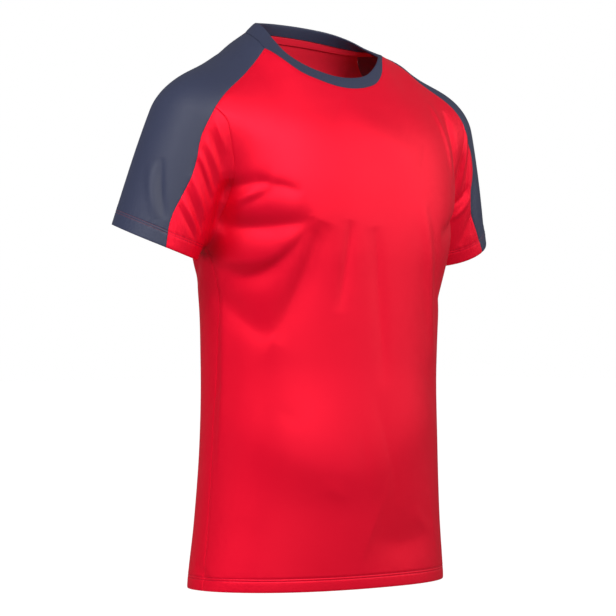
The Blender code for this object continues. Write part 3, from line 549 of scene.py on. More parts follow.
folds = {
    "body": np.array([
        # degrees from the front towards the wearer's right, and level, at start, bend and end,
        # half widths above and below the line, and how far the cloth stands out (- in a trough)
        # from   level   by     level   to     level   above   below   out
        (+85.0, -0.199, +75.0, -0.184, +63.0, -0.182, 0.0090, 0.0100, -0.0047),  # arch below the chest
        (+69.0, -0.183, +60.0, -0.184, +51.0, -0.196, 0.0060, 0.0100, -0.0026),
        (+80.0, -0.209, +71.0, -0.202, +61.0, -0.184, 0.0060, 0.0060, +0.0018),  # ridge between branches
        (+60.0, -0.186, +66.0, -0.200, +75.0, -0.213, 0.0070, 0.0070, -0.0018),
        (+86.0, -0.233, +68.0, -0.244, +46.0, -0.228, 0.0135, 0.0140, -0.0078),  # deep one under the arm
        (+93.0, -0.272, +79.0, -0.284, +60.0, -0.270, 0.0150, 0.0080, +0.0022),  # pillow below it
        (+83.0, -0.292, +66.0, -0.314, +47.0, -0.236, 0.0075, 0.0150, -0.0052),  # swag
        (+42.0, -0.230, +48.0, -0.292, +64.0, -0.374, 0.0130, 0.0180, -0.0056),  # long one to the belly
        (+92.0, -0.312, +80.0, -0.346, +64.0, -0.374, 0.0240, 0.0170, -0.0052),  # left arm of its V
        (+83.0, -0.172, +81.0, -0.204, +87.0, -0.238, 0.0080, 0.0080, -0.0064),  # tucked beside the arm
        (+26.0, -0.228, +27.0, -0.270, +32.0, -0.338, 0.0070, 0.0090, -0.0026),
        (+8.0, -0.235, +4.0, -0.300, -2.0, -0.430, 0.0100, 0.0140, -0.0026),
        (-33.0, -0.200, -40.0, -0.290, -52.0, -0.400, 0.0080, 0.0120, +0.0026),  # down the left side
        (-69.0, -0.082, -66.0, -0.120, -73.0, -0.180, 0.0070, 0.0060, -0.0060),  # before the left armhole
        (-62.0, -0.070, -59.0, -0.120, -62.0, -0.170, 0.0070, 0.0060, +0.0022),
        (+24.0, -0.086, -4.0, -0.120, -34.0, -0.158, 0.0260, 0.0260, +0.0026),  # from neck to left arm
        (+62.0, -0.454, +57.0, -0.466, +53.0, -0.478, 0.0070, 0.0080, -0.0005),  # small, on the belly
        (+41.0, -0.548, +34.0, -0.556, +26.0, -0.568, 0.0070, 0.0080, +0.0006),
        (+92.0, -0.440, +46.0, -0.555, -6.0, -0.520, 0.0700, 0.0420, +0.0060),  # belly over a loose hem
        (+14.0, -0.520, -24.0, -0.505, -50.0, -0.450, 0.0600, 0.0420, +0.0035),
        (+6.0, -0.612, -26.0, -0.640, -52.0, -0.610, 0.0400, 0.0300, -0.0050),
        (+88.0, -0.270, +87.0, -0.400, +89.0, -0.540, 0.0060, 0.0120, +0.0022),  # along the side seam
        (-30.0, -0.585, -42.0, -0.602, -54.0, -0.622, 0.0080, 0.0090, +0.0009),
        (+96.0, -0.645, +92.0, -0.655, +86.0, -0.668, 0.0040, 0.0050, -0.0016),
        (-78.0, -0.198, -66.0, -0.226, -48.0, -0.240, 0.0090, 0.0130, -0.0050),  # under the left arm
        (-88.0, -0.262, -72.0, -0.300, -56.0, -0.330, 0.0100, 0.0150, -0.0045),
        (+138.0, -0.190, +150.0, -0.210, +162.0, -0.250, 0.0090, 0.0120, -0.0050),  # the same behind
        (+140.0, -0.240, +150.0, -0.275, +172.0, -0.290, 0.0110, 0.0150, -0.0060),
        (+98.0, -0.262, +106.0, -0.290, +118.0, -0.300, 0.0090, 0.0120, -0.0026),
        (+142.0, -0.310, +152.0, -0.352, +176.0, -0.356, 0.0120, 0.0170, -0.0045),
        (-104.0, -0.205, -120.0, -0.212, -138.0, -0.252, 0.0090, 0.0120, -0.0060),
        (-100.0, -0.262, -118.0, -0.296, -142.0, -0.312, 0.0110, 0.0150, -0.0062),
        (+150.0, -0.400, +180.0, -0.448, +212.0, -0.412, 0.0160, 0.0220, -0.0062),
        (+146.0, -0.470, +178.0, -0.506, +206.0, -0.482, 0.0140, 0.0200, -0.0046),
        (+168.0, -0.110, +172.0, -0.180, +164.0, -0.260, 0.0160, 0.0160, +0.0026),
        (+192.0, -0.100, +188.0, -0.170, +198.0, -0.250, 0.0160, 0.0160, -0.0030),
    ]),
    "rightSleeve": np.array([
        # degrees from the outer side round the front, and distance along, at start, bend and end
        # from   along   by     along   to     along   above   below   out
        (+64.0, -0.003, +77.0, 0.011, +92.0, 0.027, 0.0036, 0.0036, +0.0016),  # a fan from the raglan
        (+63.0, 0.010, +78.0, 0.026, +97.0, 0.047, 0.0040, 0.0040, -0.0020),
        (+62.0, 0.022, +80.0, 0.040, +103.0, 0.061, 0.0036, 0.0036, +0.0018),
        (+62.0, 0.033, +79.0, 0.050, +101.0, 0.072, 0.0034, 0.0034, -0.0016),
        (+61.0, 0.040, +77.0, 0.058, +100.0, 0.080, 0.0034, 0.0034, +0.0017),
        (+63.0, 0.049, +83.0, 0.069, +105.0, 0.088, 0.0044, 0.0044, -0.0026),
        (+62.0, 0.068, +80.0, 0.088, +106.0, 0.110, 0.0042, 0.0042, +0.0022),
        (+63.0, 0.086, +86.0, 0.107, +109.0, 0.125, 0.0040, 0.0040, -0.0024),
        (+62.0, 0.098, +81.0, 0.114, +104.0, 0.128, 0.0036, 0.0036, +0.0018),
        (+62.0, 0.109, +82.0, 0.125, +105.0, 0.137, 0.0030, 0.0030, -0.0015),
        (+128.0, 0.030, +134.0, 0.070, +146.0, 0.112, 0.0070, 0.0070, -0.0030),
        (+25.0, 0.062, +33.0, 0.100, +55.0, 0.131, 0.0046, 0.0046, -0.0038),  # on the outside
        (+14.0, 0.070, +22.0, 0.106, +45.0, 0.134, 0.0060, 0.0060, +0.0022),
        (-64.0, 0.014, -82.0, 0.034, -106.0, 0.060, 0.0050, 0.0050, -0.0024),  # the same fan behind
        (-63.0, 0.034, -80.0, 0.056, -104.0, 0.084, 0.0044, 0.0044, +0.0018),
        (-64.0, 0.052, -84.0, 0.076, -108.0, 0.100, 0.0056, 0.0056, -0.0026),
        (-62.0, 0.090, -82.0, 0.108, -102.0, 0.126, 0.0046, 0.0046, -0.0020),
    ]),
    "leftSleeve": np.array([
        (+68.0, -0.016, +84.0, 0.020, +101.0, 0.062, 0.0036, 0.0036, +0.0020),
        (+63.0, -0.004, +76.0, 0.034, +92.0, 0.072, 0.0042, 0.0042, -0.0022),
        (+88.0, 0.010, +99.0, 0.044, +122.0, 0.056, 0.0044, 0.0044, -0.0024),
        (+80.0, 0.056, +97.0, 0.074, +124.0, 0.074, 0.0044, 0.0044, -0.0024),
        (+82.0, 0.070, +98.0, 0.088, +121.0, 0.091, 0.0040, 0.0040, +0.0017),
        (+84.0, 0.092, +97.0, 0.112, +113.0, 0.130, 0.0050, 0.0050, -0.0020),
        (+64.0, 0.046, +78.0, 0.082, +92.0, 0.122, 0.0050, 0.0050, -0.0018),
        (+20.0, 0.052, +30.0, 0.096, +50.0, 0.132, 0.0070, 0.0070, -0.0026),
        (-62.0, 0.010, -80.0, 0.030, -103.0, 0.058, 0.0050, 0.0050, -0.0024),
        (-64.0, 0.030, -82.0, 0.052, -106.0, 0.078, 0.0044, 0.0044, +0.0018),
        (-63.0, 0.056, -83.0, 0.078, -105.0, 0.106, 0.0056, 0.0056, -0.0026),
        (-60.0, 0.094, -80.0, 0.110, -100.0, 0.128, 0.0046, 0.0046, -0.0018),
    ]),
    "points": 33,            # on each fold's line
    "through": 0.030,        # how far from its line's depth a fold still reaches
    "reach": 3.2,            # how many half widths are worked out
    "trough": 1.6,           # powers of the bell: a trough is sharper than a ridge
    "ridge": 2.0,
    "swell": 0.7,            # power of the sine along a fold
}


# A fold's two coordinates along its bent line, as a quadratic Bezier curve:
# (1 - t) squared start + 2 t (1 - t) bend + t squared end.
def bendLine(row):
    t = np.linspace(0, 1, folds["points"])[:, None]
    start, bend, end = row[0:2], row[2:4], row[4:6]
    return (1 - t) ** 2 * start + 2 * t * (1 - t) * bend + t**2 * end


# Each fold's line laid on the form, with the cloth's direction, the way along and the way up there.
def foldLines():
    rows = [(bodyPoint(*bendLine(row).T), row) for row in folds["body"]]
    for side, key in ((-1, "rightSleeve"), (1, "leftSleeve")):
        rows += [(sleevePoint(side, *bendLine(row).T), row) for row in folds[key]]
    lines = lay(np.array([line for line, _ in rows]), layRounds["fold"])
    normals = outward(lines)
    tangents = np.gradient(lines, axis=1)
    tangents /= np.linalg.norm(tangents, axis=2, keepdims=True)
    ups = np.cross(tangents, normals)
    ups *= np.sign(ups[:, :, 2].sum(1))[:, None, None]
    return [(*parts, row) for *parts, (_, row) in zip(lines, normals, tangents, ups, rows)]


# How far the cloth stands out: each fold is a bell exp(- |off / width| to a power) across its line,
# wider on one side than on the other, times a sine along it, so that it swells and dies away.
def foldHeight(points):
    height = np.zeros(len(points))
    for line, normal, tangent, up, (*_, above, below, out) in foldShapes:
        span = folds["reach"] * max(above, below)
        low, high = line.min(0) - span, line.max(0) + span
        near = np.flatnonzero(((points > low) & (points < high)).all(axis=1))
        if len(near) == 0:
            continue
        away = points[near][:, None] - line[None]
        nearest = (away**2).sum(axis=2).argmin(axis=1)
        off = away[np.arange(len(near)), nearest]
        s = (off * up[nearest]).sum(1)
        e = (off * tangent[nearest]).sum(1)
        deep = (off * normal[nearest]).sum(1)
        spacing = np.linalg.norm(line[1] - line[0])
        t = np.clip((nearest + np.clip(e / spacing, -0.5, 0.5)) / (len(line) - 1), 0, 1)
        beyond = np.maximum(np.abs(e) - spacing, 0)
        width = np.where(s > 0, above, below)
        power = folds["trough" if out < 0 else "ridge"]
        bell = np.exp(-(np.abs(s) / width) ** power - (beyond / width) ** 2
                      - (deep / folds["through"]) ** 2)
        height[near] += out * np.sin(np.pi * t) ** folds["swell"] * bell
    return height


# the cloth: fine grids, sewn edges, turned hems

cloth = {
    "wall": 0.0009,
    "seamGap": 0.00004,
    "grooveDepth": 0.0004,
    "grooveWidth": 0.0017,
    "fine": {"body": 6, "top": 8, "under": 8},
    "close": (0.0008, 0.0020),           # extra rows this far from a sewn edge
    "edgeReach": 2,                      # coarse rows that move with an edge read on its own
}

turnUp = {
    "hem": (0.0135, 0.0165),             # its two rows of stitches, above the edge
    "cuff": (0.0165, 0.0195),
    "stitchDepth": 0.00055,
    "stitchWidth": 0.0007,
    "stitchSpread": (-1.5, -0.75, 0, 0.75, 1.5),    # extra rows beside a stitch row, in its widths
    "close": (0.0004, 0.0012, 0.0024),   # and this far from the turned edge
    "pucker": (0.00022, 0.0095),         # how much the stitches gather the cloth, and how often
    "puckerSlant": 0.35,
    "puckerReach": 0.0065,               # above and below the middle between the rows
    "wander": ((0.0021, 61.0, 0.0), (0.0013, 173.0, 1.0)),      # unevenness: metres, per metre, phase
    "thick": 0.0007,                     # the turned layer, on the inside
    "step": 0.0012,                      # how quickly it begins above the lower row
    "lip": (-0.0010, 0.0008),            # and where it ends, at the edge
    "edgeRound": (0.0005, 0.0012),       # how much the edge is rounded, and how far up
}


# Places along a grid direction: each step cut evenly, and extra ones at distances from its ends.
def gridPlaces(count, cuts, step, closeStart, closeEnd, digits=5):
    at = [np.arange(count * cuts + 1) / cuts, np.array(closeStart) / step,
          count - np.array(closeEnd) / step]
    return np.unique(np.concatenate(at).round(digits))


# Rows of a grid read between its rows, on the same curve.
def readSpline(grid, at):
    ends = lengthened(grid)
    k = np.minimum(at.astype(int), len(grid) - 2)
    return catmullRom(ends[k], ends[k + 1], ends[k + 2], ends[k + 3], (at - k)[:, None, None])


# A grid's edge read between its points, with a corner allowed at each break.
def seamSpline(line, breaks, at):
    out = np.zeros((len(at), 3))
    stops = [0, *breaks, len(line) - 1]
    for low, high in zip(stops, stops[1:]):
        inside = (at >= low) & (at <= high)
        out[inside] = readSpline(line[low:high + 1, None], at[inside] - low)[:, 0]
    return out


# Distances from a turned edge that the grid needs, to show its stitch rows.
def stitchRows(rows):
    spread = np.array(turnUp["stitchSpread"]) * turnUp["stitchWidth"]
    return [*turnUp["close"], *(np.array(rows)[:, None] + spread).ravel()]


# The grid read finely along both directions and laid on the form. Its edges are read on their own, so
# that both pieces at a seam get the same line.
def finer(grid, cuts, sewn, turned, breaks):
    rows, columns = grid.shape[0] - 1, grid.shape[1] - 1
    extra = {edge: cloth["close"] for edge in sewn}
    extra.update({edge: stitchRows(turnUp[kind]) for edge, kind in turned.items()})
    tall = np.linalg.norm(grid[1] - grid[0], axis=1).mean()
    if "last" in turned:
        tall = np.linalg.norm(grid[-1] - grid[-2], axis=1).mean()
    wide = np.linalg.norm(grid[:, 1] - grid[:, 0], axis=1).mean()
    down = gridPlaces(rows, cuts, tall, extra.get("first", []), extra.get("last", []))
    over = gridPlaces(columns, cuts, wide, extra.get("start", []), extra.get("end", []))
    fine = readSpline(readSpline(grid, down).swapaxes(0, 1), over).swapaxes(0, 1)
    first, last = (seamSpline(grid[k], breaks.get("over", []), over) for k in (0, -1))
    start, end = (seamSpline(grid[:, k], breaks.get("down", []), down) for k in (0, -1))
    reach = cloth["edgeReach"]
    t = np.clip(1 - down / reach, 0, 1)[:, None, None]
    fine += t * (first - fine[0])[None]
    t = np.clip(1 - (rows - down) / reach, 0, 1)[:, None, None]
    fine += t * (last - fine[-1])[None]
    t = np.clip(1 - over / reach, 0, 1)[None, :, None]
    fine += t * (start - fine[:, 0])[:, None]
    t = np.clip(1 - (columns - over) / reach, 0, 1)[None, :, None]
    fine += t * (end - fine[:, -1])[:, None]
    return lay(fine, layRounds["fine"])


# Distance from each point to the nearest of these edges of its piece, along its row or column.
def edgeDistance(grid, edges):
    far = np.full(grid.shape[:2], np.inf)
    for edge in edges:
        line = {"first": grid[:1], "last": grid[-1:], "start": grid[:, :1], "end": grid[:, -1:]}[edge]
        far = np.minimum(far, np.linalg.norm(grid - line, axis=2))
    return far


# Sewn edges drawn back by half a seam gap, square to the seam and on the cloth.
def pulledIn(grid, facing, sewn):
    source, grid = grid, grid.copy()
    for edge in sewn:
        # the edge's row, and one further in, which tells the way inwards
        rows = {"first": (0, 3), "last": (-1, -4), "start": (0, 3), "end": (-1, -4)}[edge]
        across = edge in ("start", "end")
        line = source[:, rows[0]] if across else source[rows[0]]
        inner = source[:, rows[1]] if across else source[rows[1]]
        normal = facing[:, rows[0]] if across else facing[rows[0]]
        along = np.gradient(line, axis=0)
        along -= normal * (along * normal).sum(1, keepdims=True)
        square = np.cross(normal, along)
        square /= np.linalg.norm(square, axis=1, keepdims=True)
        square *= np.sign((square * (inner - line)).sum())
        if across:
            grid[:, rows[0]] += square * cloth["seamGap"] / 2
        else:
            grid[rows[0]] += square * cloth["seamGap"] / 2
    return grid


# A mesh with its own UV map and a mark on its inner points, which stands for a node.
def meshPiece(node, points, faces, material, uv, inside=None):
    name = node + "_cloth"
    mesh = bpy.data.meshes.new(name)
    mesh.from_pydata(points.tolist(), [], faces.tolist())
    mesh.validate()
    mesh.shade_smooth()
    layer = mesh.uv_layers.new(name="cloth")
    corner = np.empty(len(mesh.loops), int)
    mesh.loops.foreach_get("vertex_index", corner)
    layer.data.foreach_set("uv", uv[corner].astype(np.float32).ravel())
    wrongSide = mesh.attributes.new("inside", "FLOAT", "POINT")
    wrongSide.data.foreach_set("value", np.zeros(len(points)) if inside is None else inside)
    mesh.materials.append(material)
    piece = bpy.data.objects.new(name, mesh)
    bpy.context.scene.collection.objects.link(piece)
    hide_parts(node)
    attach(piece, "root")
    return piece


# A closed thin wall: two grids of the same size, the inner one turned round, and a strip between
# their borders.
def shellPiece(node, outer, inner, uv, material):
    rows, columns = outer.shape[:2]
    index = np.arange(rows * columns).reshape(rows, columns)
    a, b, c, d = index[:-1, :-1], index[:-1, 1:], index[1:, 1:], index[1:, :-1]
    border = np.concatenate([index[0], index[1:, -1], index[-1, -2::-1], index[-2:0:-1, 0]])
    after = np.roll(border, -1)
    other = rows * columns
    points = np.concatenate([outer.reshape(-1, 3), inner.reshape(-1, 3)])
    face = np.stack([a, b, c, d], axis=-1).reshape(-1, 4)
    corner, right, _, up = points[face.T]
    through = corner - points[face[:, 0] + other]
    if (np.cross(right - corner, up - corner) * through).sum() < 0:
        face, border, after = face[:, (0, 3, 2, 1)], after, border
    sides = np.stack([after, border, border + other, after + other], axis=1)
    faces = np.concatenate([face, face[:, (0, 3, 2, 1)] + other, sides])
    inside = np.repeat((0.0, 1.0), rows * columns)
    return meshPiece(node, points, faces, material, np.concatenate([uv.reshape(-1, 2)] * 2), inside)


# Metres along the rows or columns of a grid, from their first points.
def runningLength(grid, axis):
    spans = np.linalg.norm(np.diff(grid, axis=axis), axis=2)
    start = np.zeros_like(spans.take([0], axis))
    return np.concatenate([start, np.cumsum(spans, axis=axis)], axis=axis)


# Metres across from the middle of the piece, and metres up from its turned edge.
def clothUv(grid, turned):
    over = runningLength(grid, 1)
    over -= over[:, over.shape[1] // 2][:, None]
    down = runningLength(grid, 0)
    if "last" in turned:
        down = down[-1] - down
    return np.stack([over, down], axis=2)


# Outer relief of a turned edge: two soft stitch grooves, each minus depth times exp(- (up / width)
# squared), slanted sine puckers that fade out above and below them, and a rounded edge. Returned with
# it is the extra thickness of the turned layer.
def turnedRelief(uv, kind):
    across, up = uv[..., 0], uv[..., 1]
    low, high = turnUp[kind]
    relief = np.zeros_like(up)
    for row in (low, high):
        relief -= turnUp["stitchDepth"] * np.exp(-((up - row) / turnUp["stitchWidth"]) ** 2)
    depth, pitch = turnUp["pucker"]
    place = across.copy()
    for much, often, phase in turnUp["wander"]:
        place += much * np.sin(across * often + phase)
    ripple = np.sin(2 * np.pi * (place + turnUp["puckerSlant"] * up) / pitch)
    relief += depth * ripple * np.exp(-((up - (low + high) / 2) / turnUp["puckerReach"]) ** 2)
    rounded, length = turnUp["edgeRound"]
    relief -= rounded * np.exp(-up / length)
    thick = turnUp["thick"] * (1 - ease(up, low, low + turnUp["step"])) * ease(up, *turnUp["lip"])
    return relief, thick


# A sewn piece: its fine grid moved along its normals by its folds, its turned edge and a groove at each
# seam, - depth times exp(- (distance / width) squared), and the same grid one wall further in.
def clothPiece(node, grid, cuts, sewn, turned, breaks, material):
    fine = finer(grid, cuts, sewn, turned, breaks)
    facing = outward(fine)
    uv = clothUv(fine, turned)
    height = foldHeight(fine.reshape(-1, 3)).reshape(fine.shape[:2])
    height -= cloth["grooveDepth"] * np.exp(-(edgeDistance(fine, sewn) / cloth["grooveWidth"]) ** 2)
    relief, thick = turnedRelief(uv, *turned.values())
    outer = pulledIn(fine, facing, sewn) + facing * (height + relief)[..., None]
    inner = outer - facing * (cloth["wall"] + thick)[..., None]
    return shellPiece(node, outer, inner, uv, material)


# materials

knit = {"wale": 0.00078, "course": 0.00064, "raise": 0.00011}
ribKnit = {"wale": 0.0021, "course": 0.0009, "raise": 0.00022}
thread = {"stitch": 0.0031, "sewn": 0.80, "halfWidth": 0.00048}
crown = 0.7                              # how much lower a loop's sides lie than its middle
loopStrength = 0.45
mottle = {"broad": (9.0, 2.0), "fine": (760.0, 3.0)}     # noise scale and detail
roughRange = 0.10                        # how much the fine mottling changes the roughness

finish = {
    "red": {
        "colour": (0.880, 0.0022, 0.029),
        "deep": (0.800, 0.0012, 0.022),      # the colour of its broad patches
        "inside": (0.860, 0.018, 0.045),
        "thread": (0.620, 0.0030, 0.028),
        "rough": 0.42,
        "sheen": 0.42,
        "specular": 0.20,
    },
    "navy": {
        "colour": (0.031, 0.037, 0.074),
        "deep": (0.025, 0.030, 0.062),
        # inside: painted red bounce light from the red cloth round it, not the navy's own colour
        "inside": (0.260, 0.030, 0.050),
        "thread": (0.090, 0.035, 0.060),
        "rough": 0.50,
        "sheen": 0.0,
        "specular": 0.38,
    },
}


# An empty shader node group, with inputs of given names and kinds, and outputs that are numbers.
def newGroup(name, inputs, outputs):
    group = bpy.data.node_groups.new(name, "ShaderNodeTree")
    for socket, kind in inputs:
        group.interface.new_socket(socket, in_out="INPUT", socket_type=kind)
    for socket in outputs:
        group.interface.new_socket(socket, in_out="OUTPUT", socket_type="NodeSocketFloat")
    return group, group.nodes.new("NodeGroupInput"), group.nodes.new("NodeGroupOutput")


# Joins a socket to another, or sets its number.
def put(tree, target, value):
    if isinstance(value, bpy.types.NodeSocket):
        tree.links.new(value, target)
    else:
        target.default_value = value


# A Math node on sockets or numbers.
def calc(tree, operation, *values):
    node = tree.nodes.new("ShaderNodeMath")
    node.operation = operation
    for target, value in zip(node.inputs, values):
        put(tree, target, value)
    return node.outputs[0]


# A colour mix of two colours by a share.
def mixed(tree, share, first, second):
    node = tree.nodes.new("ShaderNodeMix")
    node.data_type = "RGBA"
    put(tree, node.inputs[0], share)
    for target, value in zip(node.inputs[6:8], (first, second)):
        put(tree, target, value if isinstance(value, bpy.types.NodeSocket) else (*value, 1))
    return node.outputs[2]


# Knitted loops: each wale is a column of Vs. Height = (0.5 + 0.5 cos 2 pi (v / course + side / 2))
# times (1 - crown side squared), where side runs from 0 in a wale's middle to 1 at its edges.
def loopsGroup():
    sockets = [("UV", "NodeSocketVector"), ("Wale", "NodeSocketFloat"), ("Course", "NodeSocketFloat")]
    group, given, result = newGroup("knit_loops", sockets, ["Height"])
    split = group.nodes.new("ShaderNodeSeparateXYZ")
    group.links.new(given.outputs["UV"], split.inputs[0])
    across = calc(group, "DIVIDE", split.outputs[0], given.outputs["Wale"])
    side = calc(group, "PINGPONG", across, 0.5)
    side = calc(group, "SUBTRACT", 1.0, calc(group, "MULTIPLY", side, 2.0))
    up = calc(group, "DIVIDE", split.outputs[1], given.outputs["Course"])
    turn = calc(group, "MULTIPLY", calc(group, "MULTIPLY_ADD", side, 0.5, up), 2 * np.pi)
    wave = calc(group, "MULTIPLY_ADD", calc(group, "COSINE", turn), 0.5, 0.5)
    fall = calc(group, "MULTIPLY", calc(group, "POWER", side, 2.0), crown)
    height = calc(group, "MULTIPLY", wave, calc(group, "SUBTRACT", 1.0, fall))
    group.links.new(height, result.inputs["Height"])
    return group


# Broad soft patches and fine mottling of the cloth, from noise on its place in the object.
def shadeGroup():
    group, _, result = newGroup("cloth_shade", [], ["Broad", "Fine"])
    place = group.nodes.new("ShaderNodeTexCoord")
    for name in ("Broad", "Fine"):
        noise = group.nodes.new("ShaderNodeTexNoise")
        scale, detail = mottle[name.lower()]
        noise.inputs["Scale"].default_value = scale
        noise.inputs["Detail"].default_value = detail
        group.links.new(place.outputs["Object"], noise.inputs["Vector"])
        group.links.new(noise.outputs["Fac"], result.inputs[name])
    return group


# Mask of the stitches: 1 within half a thread of a row's distance from the turned edge, in dashes.
def threadGroup():
    sockets = [("UV", "NodeSocketVector"), ("Low", "NodeSocketFloat"), ("High", "NodeSocketFloat")]
    group, given, result = newGroup("stitch_rows", sockets, ["Mask"])
    split = group.nodes.new("ShaderNodeSeparateXYZ")
    group.links.new(given.outputs["UV"], split.inputs[0])
    rows = [calc(group, "COMPARE", split.outputs[1], given.outputs[row], thread["halfWidth"])
            for row in ("Low", "High")]
    along = calc(group, "FRACT", calc(group, "DIVIDE", split.outputs[0], thread["stitch"]))
    dash = calc(group, "LESS_THAN", along, thread["sewn"])
    mask = calc(group, "MULTIPLY", calc(group, "MAXIMUM", *rows), dash)
    group.links.new(mask, result.inputs["Mask"])
    return group


groups = {"loops": loopsGroup(), "shade": shadeGroup(), "threads": threadGroup()}


# One of the groups placed in a material.
def useGroup(tree, name):
    node = tree.nodes.new("ShaderNodeGroup")
    node.node_tree = groups[name]
    return node


# Knit cloth: mottled colour, another one inside (on the navy, painted red bounce light from the red
# cloth), stitches along its turned edge, loops as bump, and a sheen on the right side of the cloth alone.
def clothMaterial(name, finishName, loops, rows):
    look = finish[finishName]
    material = bpy.data.materials.new(name)
    material.use_nodes = True
    tree = material.node_tree
    shader = tree.nodes["Principled BSDF"]
    uv = tree.nodes.new("ShaderNodeUVMap")
    uv.uv_map = "cloth"
    shade = useGroup(tree, "shade")
    colour = mixed(tree, shade.outputs["Broad"], look["colour"], look["deep"])
    inside = tree.nodes.new("ShaderNodeAttribute")
    inside.attribute_name = "inside"
    # the inside colour: the cloth's wrong side, and on the navy painted red bounce light
    colour = mixed(tree, inside.outputs["Fac"], colour, look["inside"])
    if rows:
        stitches = useGroup(tree, "threads")
        put(tree, stitches.inputs["UV"], uv.outputs["UV"])
        stitches.inputs["Low"].default_value, stitches.inputs["High"].default_value = rows
        colour = mixed(tree, stitches.outputs["Mask"], colour, look["thread"])
    put(tree, shader.inputs["Base Color"], colour)
    least = look["rough"] - roughRange / 2
    rough = calc(tree, "MULTIPLY_ADD", shade.outputs["Fine"], roughRange, least)
    put(tree, shader.inputs["Roughness"], rough)
    if look["sheen"]:
        sheen = calc(tree, "MULTIPLY_ADD", inside.outputs["Fac"], -look["sheen"], look["sheen"])
        put(tree, shader.inputs["Metallic"], sheen)
    shader.inputs["Specular IOR Level"].default_value = look["specular"]
    pattern = useGroup(tree, "loops")
    put(tree, pattern.inputs["UV"], uv.outputs["UV"])
    pattern.inputs["Wale"].default_value = loops["wale"]
    pattern.inputs["Course"].default_value = loops["course"]
    bump = tree.nodes.new("ShaderNodeBump")
    bump.inputs["Strength"].default_value = loopStrength
    bump.inputs["Distance"].default_value = loops["raise"]
    put(tree, bump.inputs["Height"], pattern.outputs["Height"])
    put(tree, shader.inputs["Normal"], bump.outputs["Normal"])
    return material


redBody = clothMaterial("red_knit", "red", knit, turnUp["hem"])
redSleeve = clothMaterial("red_sleeve_knit", "red", knit, turnUp["cuff"])
navySleeve = clothMaterial("navy_knit", "navy", knit, turnUp["cuff"])
navyRib = clothMaterial("navy_rib", "navy", ribKnit, None)
redTape = clothMaterial("red_tape", "red", knit, None)

# the panels and sleeves

foldShapes = foldLines()
neck = neckSeams()
arms = {side: armSeams(side, neck) for side in (-1, 1)}
right, left = arms[-1], arms[1]
grids = {
    "front_panel": bodyGrid(chain(right["side"], right["armholeFront"], right["raglanFront"]),
                            chain(left["side"], left["armholeFront"], left["raglanFront"]),
                            neck["front"], 0.0, steps["front"]),
    "back_panel": bodyGrid(chain(left["side"], left["armholeBack"], left["raglanBack"]),
                           chain(right["side"], right["armholeBack"], right["raglanBack"]),
                           neck["back"], 180.0, steps["back"]),
}
bodyBreakRows = [steps["side"], steps["side"] + steps["armhole"]]
for name, grid in grids.items():
    clothPiece(name, grid, cloth["fine"]["body"], ("last", "start", "end"),
                              {"first": "hem"}, {"down": bodyBreakRows}, redBody)
for side, word in ((-1, "right"), (1, "left")):
    sewn, turned = ("first", "start", "end"), {"last": "cuff"}
    top, under = f"{word}_sleeve_top", f"{word}_sleeve_under"
    grids[top], grids[under] = topGrid(side, arms[side], neck[word]), underGrid(side, arms[side])
    clothPiece(top, grids[top], cloth["fine"]["top"], sewn, turned,
                             {"down": [steps["raglan"]]}, navySleeve)
    clothPiece(under, grids[under], cloth["fine"]["under"], sewn, turned,
                               {"over": [steps["armhole"]]}, redSleeve)
print("panels and sleeves are in")

# the neck band and the tape

band = {
    "wall": 0.0026,
    "fine": 10,
    "faceCuts": 4,                       # how finely the profile's two curves are cut
    "hollowCuts": 2,
    "rimCentre": (-0.0030, -0.0150),
    "rimHalf": (0.0870, 0.0640),
    "rim": np.array([
        # degrees from the wearer's left through the back, and height of the top edge
        (-35.0, -0.0150),
        (-11.0, -0.0071),
        (+6.0, 0.0010),
        (+20.0, 0.0100),
        (+43.0, 0.0210),
        (+70.0, 0.0274),
        (+100.0, 0.0292),
        (+129.0, 0.0268),
        (+150.0, 0.0240),
        (+166.0, 0.0208),
        (+178.0, 0.0145),
        (+192.0, -0.0003),
        (+208.0, -0.0191),
        (+223.0, -0.0315),
        (+239.0, -0.0407),
        (+254.0, -0.0460),
        (+271.0, -0.0467),
        (+289.0, -0.0415),
        (+305.0, -0.0300),
        (+325.0, -0.0150),
        (+349.0, -0.0071),
        (+366.0, 0.0010),
        (+380.0, 0.0100),
    ]),
    "profile": [
        # share of the rise, and outwards in walls
        (0.08, 0.02),
        (0.35, 0.12),
        (0.75, 0.10),
        (0.95, -0.12),
        (1.00, -0.50),
        (0.95, -0.88),
        (0.75, -1.05),
        (0.35, -1.05),
        (0.08, -1.00),
    ],
    "hollow": [
        # the same for the space between the two layers, back from the inner one to the outer one
        (0.08, -0.67),
        (0.35, -0.70),
        (0.75, -0.70),
        (0.90, -0.62),
        (0.945, -0.50),
        (0.90, -0.38),
        (0.75, -0.25),
        (0.35, -0.23),
        (0.08, -0.33),
    ],
    # how deep each edge at the foot lies, in walls: outer and inner face, and the hollow's two sides
    "foot": (0.0, 1.0, 0.66, 0.34),
}


# The whole neck seam, read as finely as the panels' edges.
def fineRing():
    runs = []
    for run in ("front", "left", "back", "right"):
        line = neck[run]
        at = np.arange((len(line) - 1) * band["fine"]) / band["fine"]
        runs.append(seamSpline(line, [], at))
    return lay(np.concatenate(runs), layRounds["fine"])


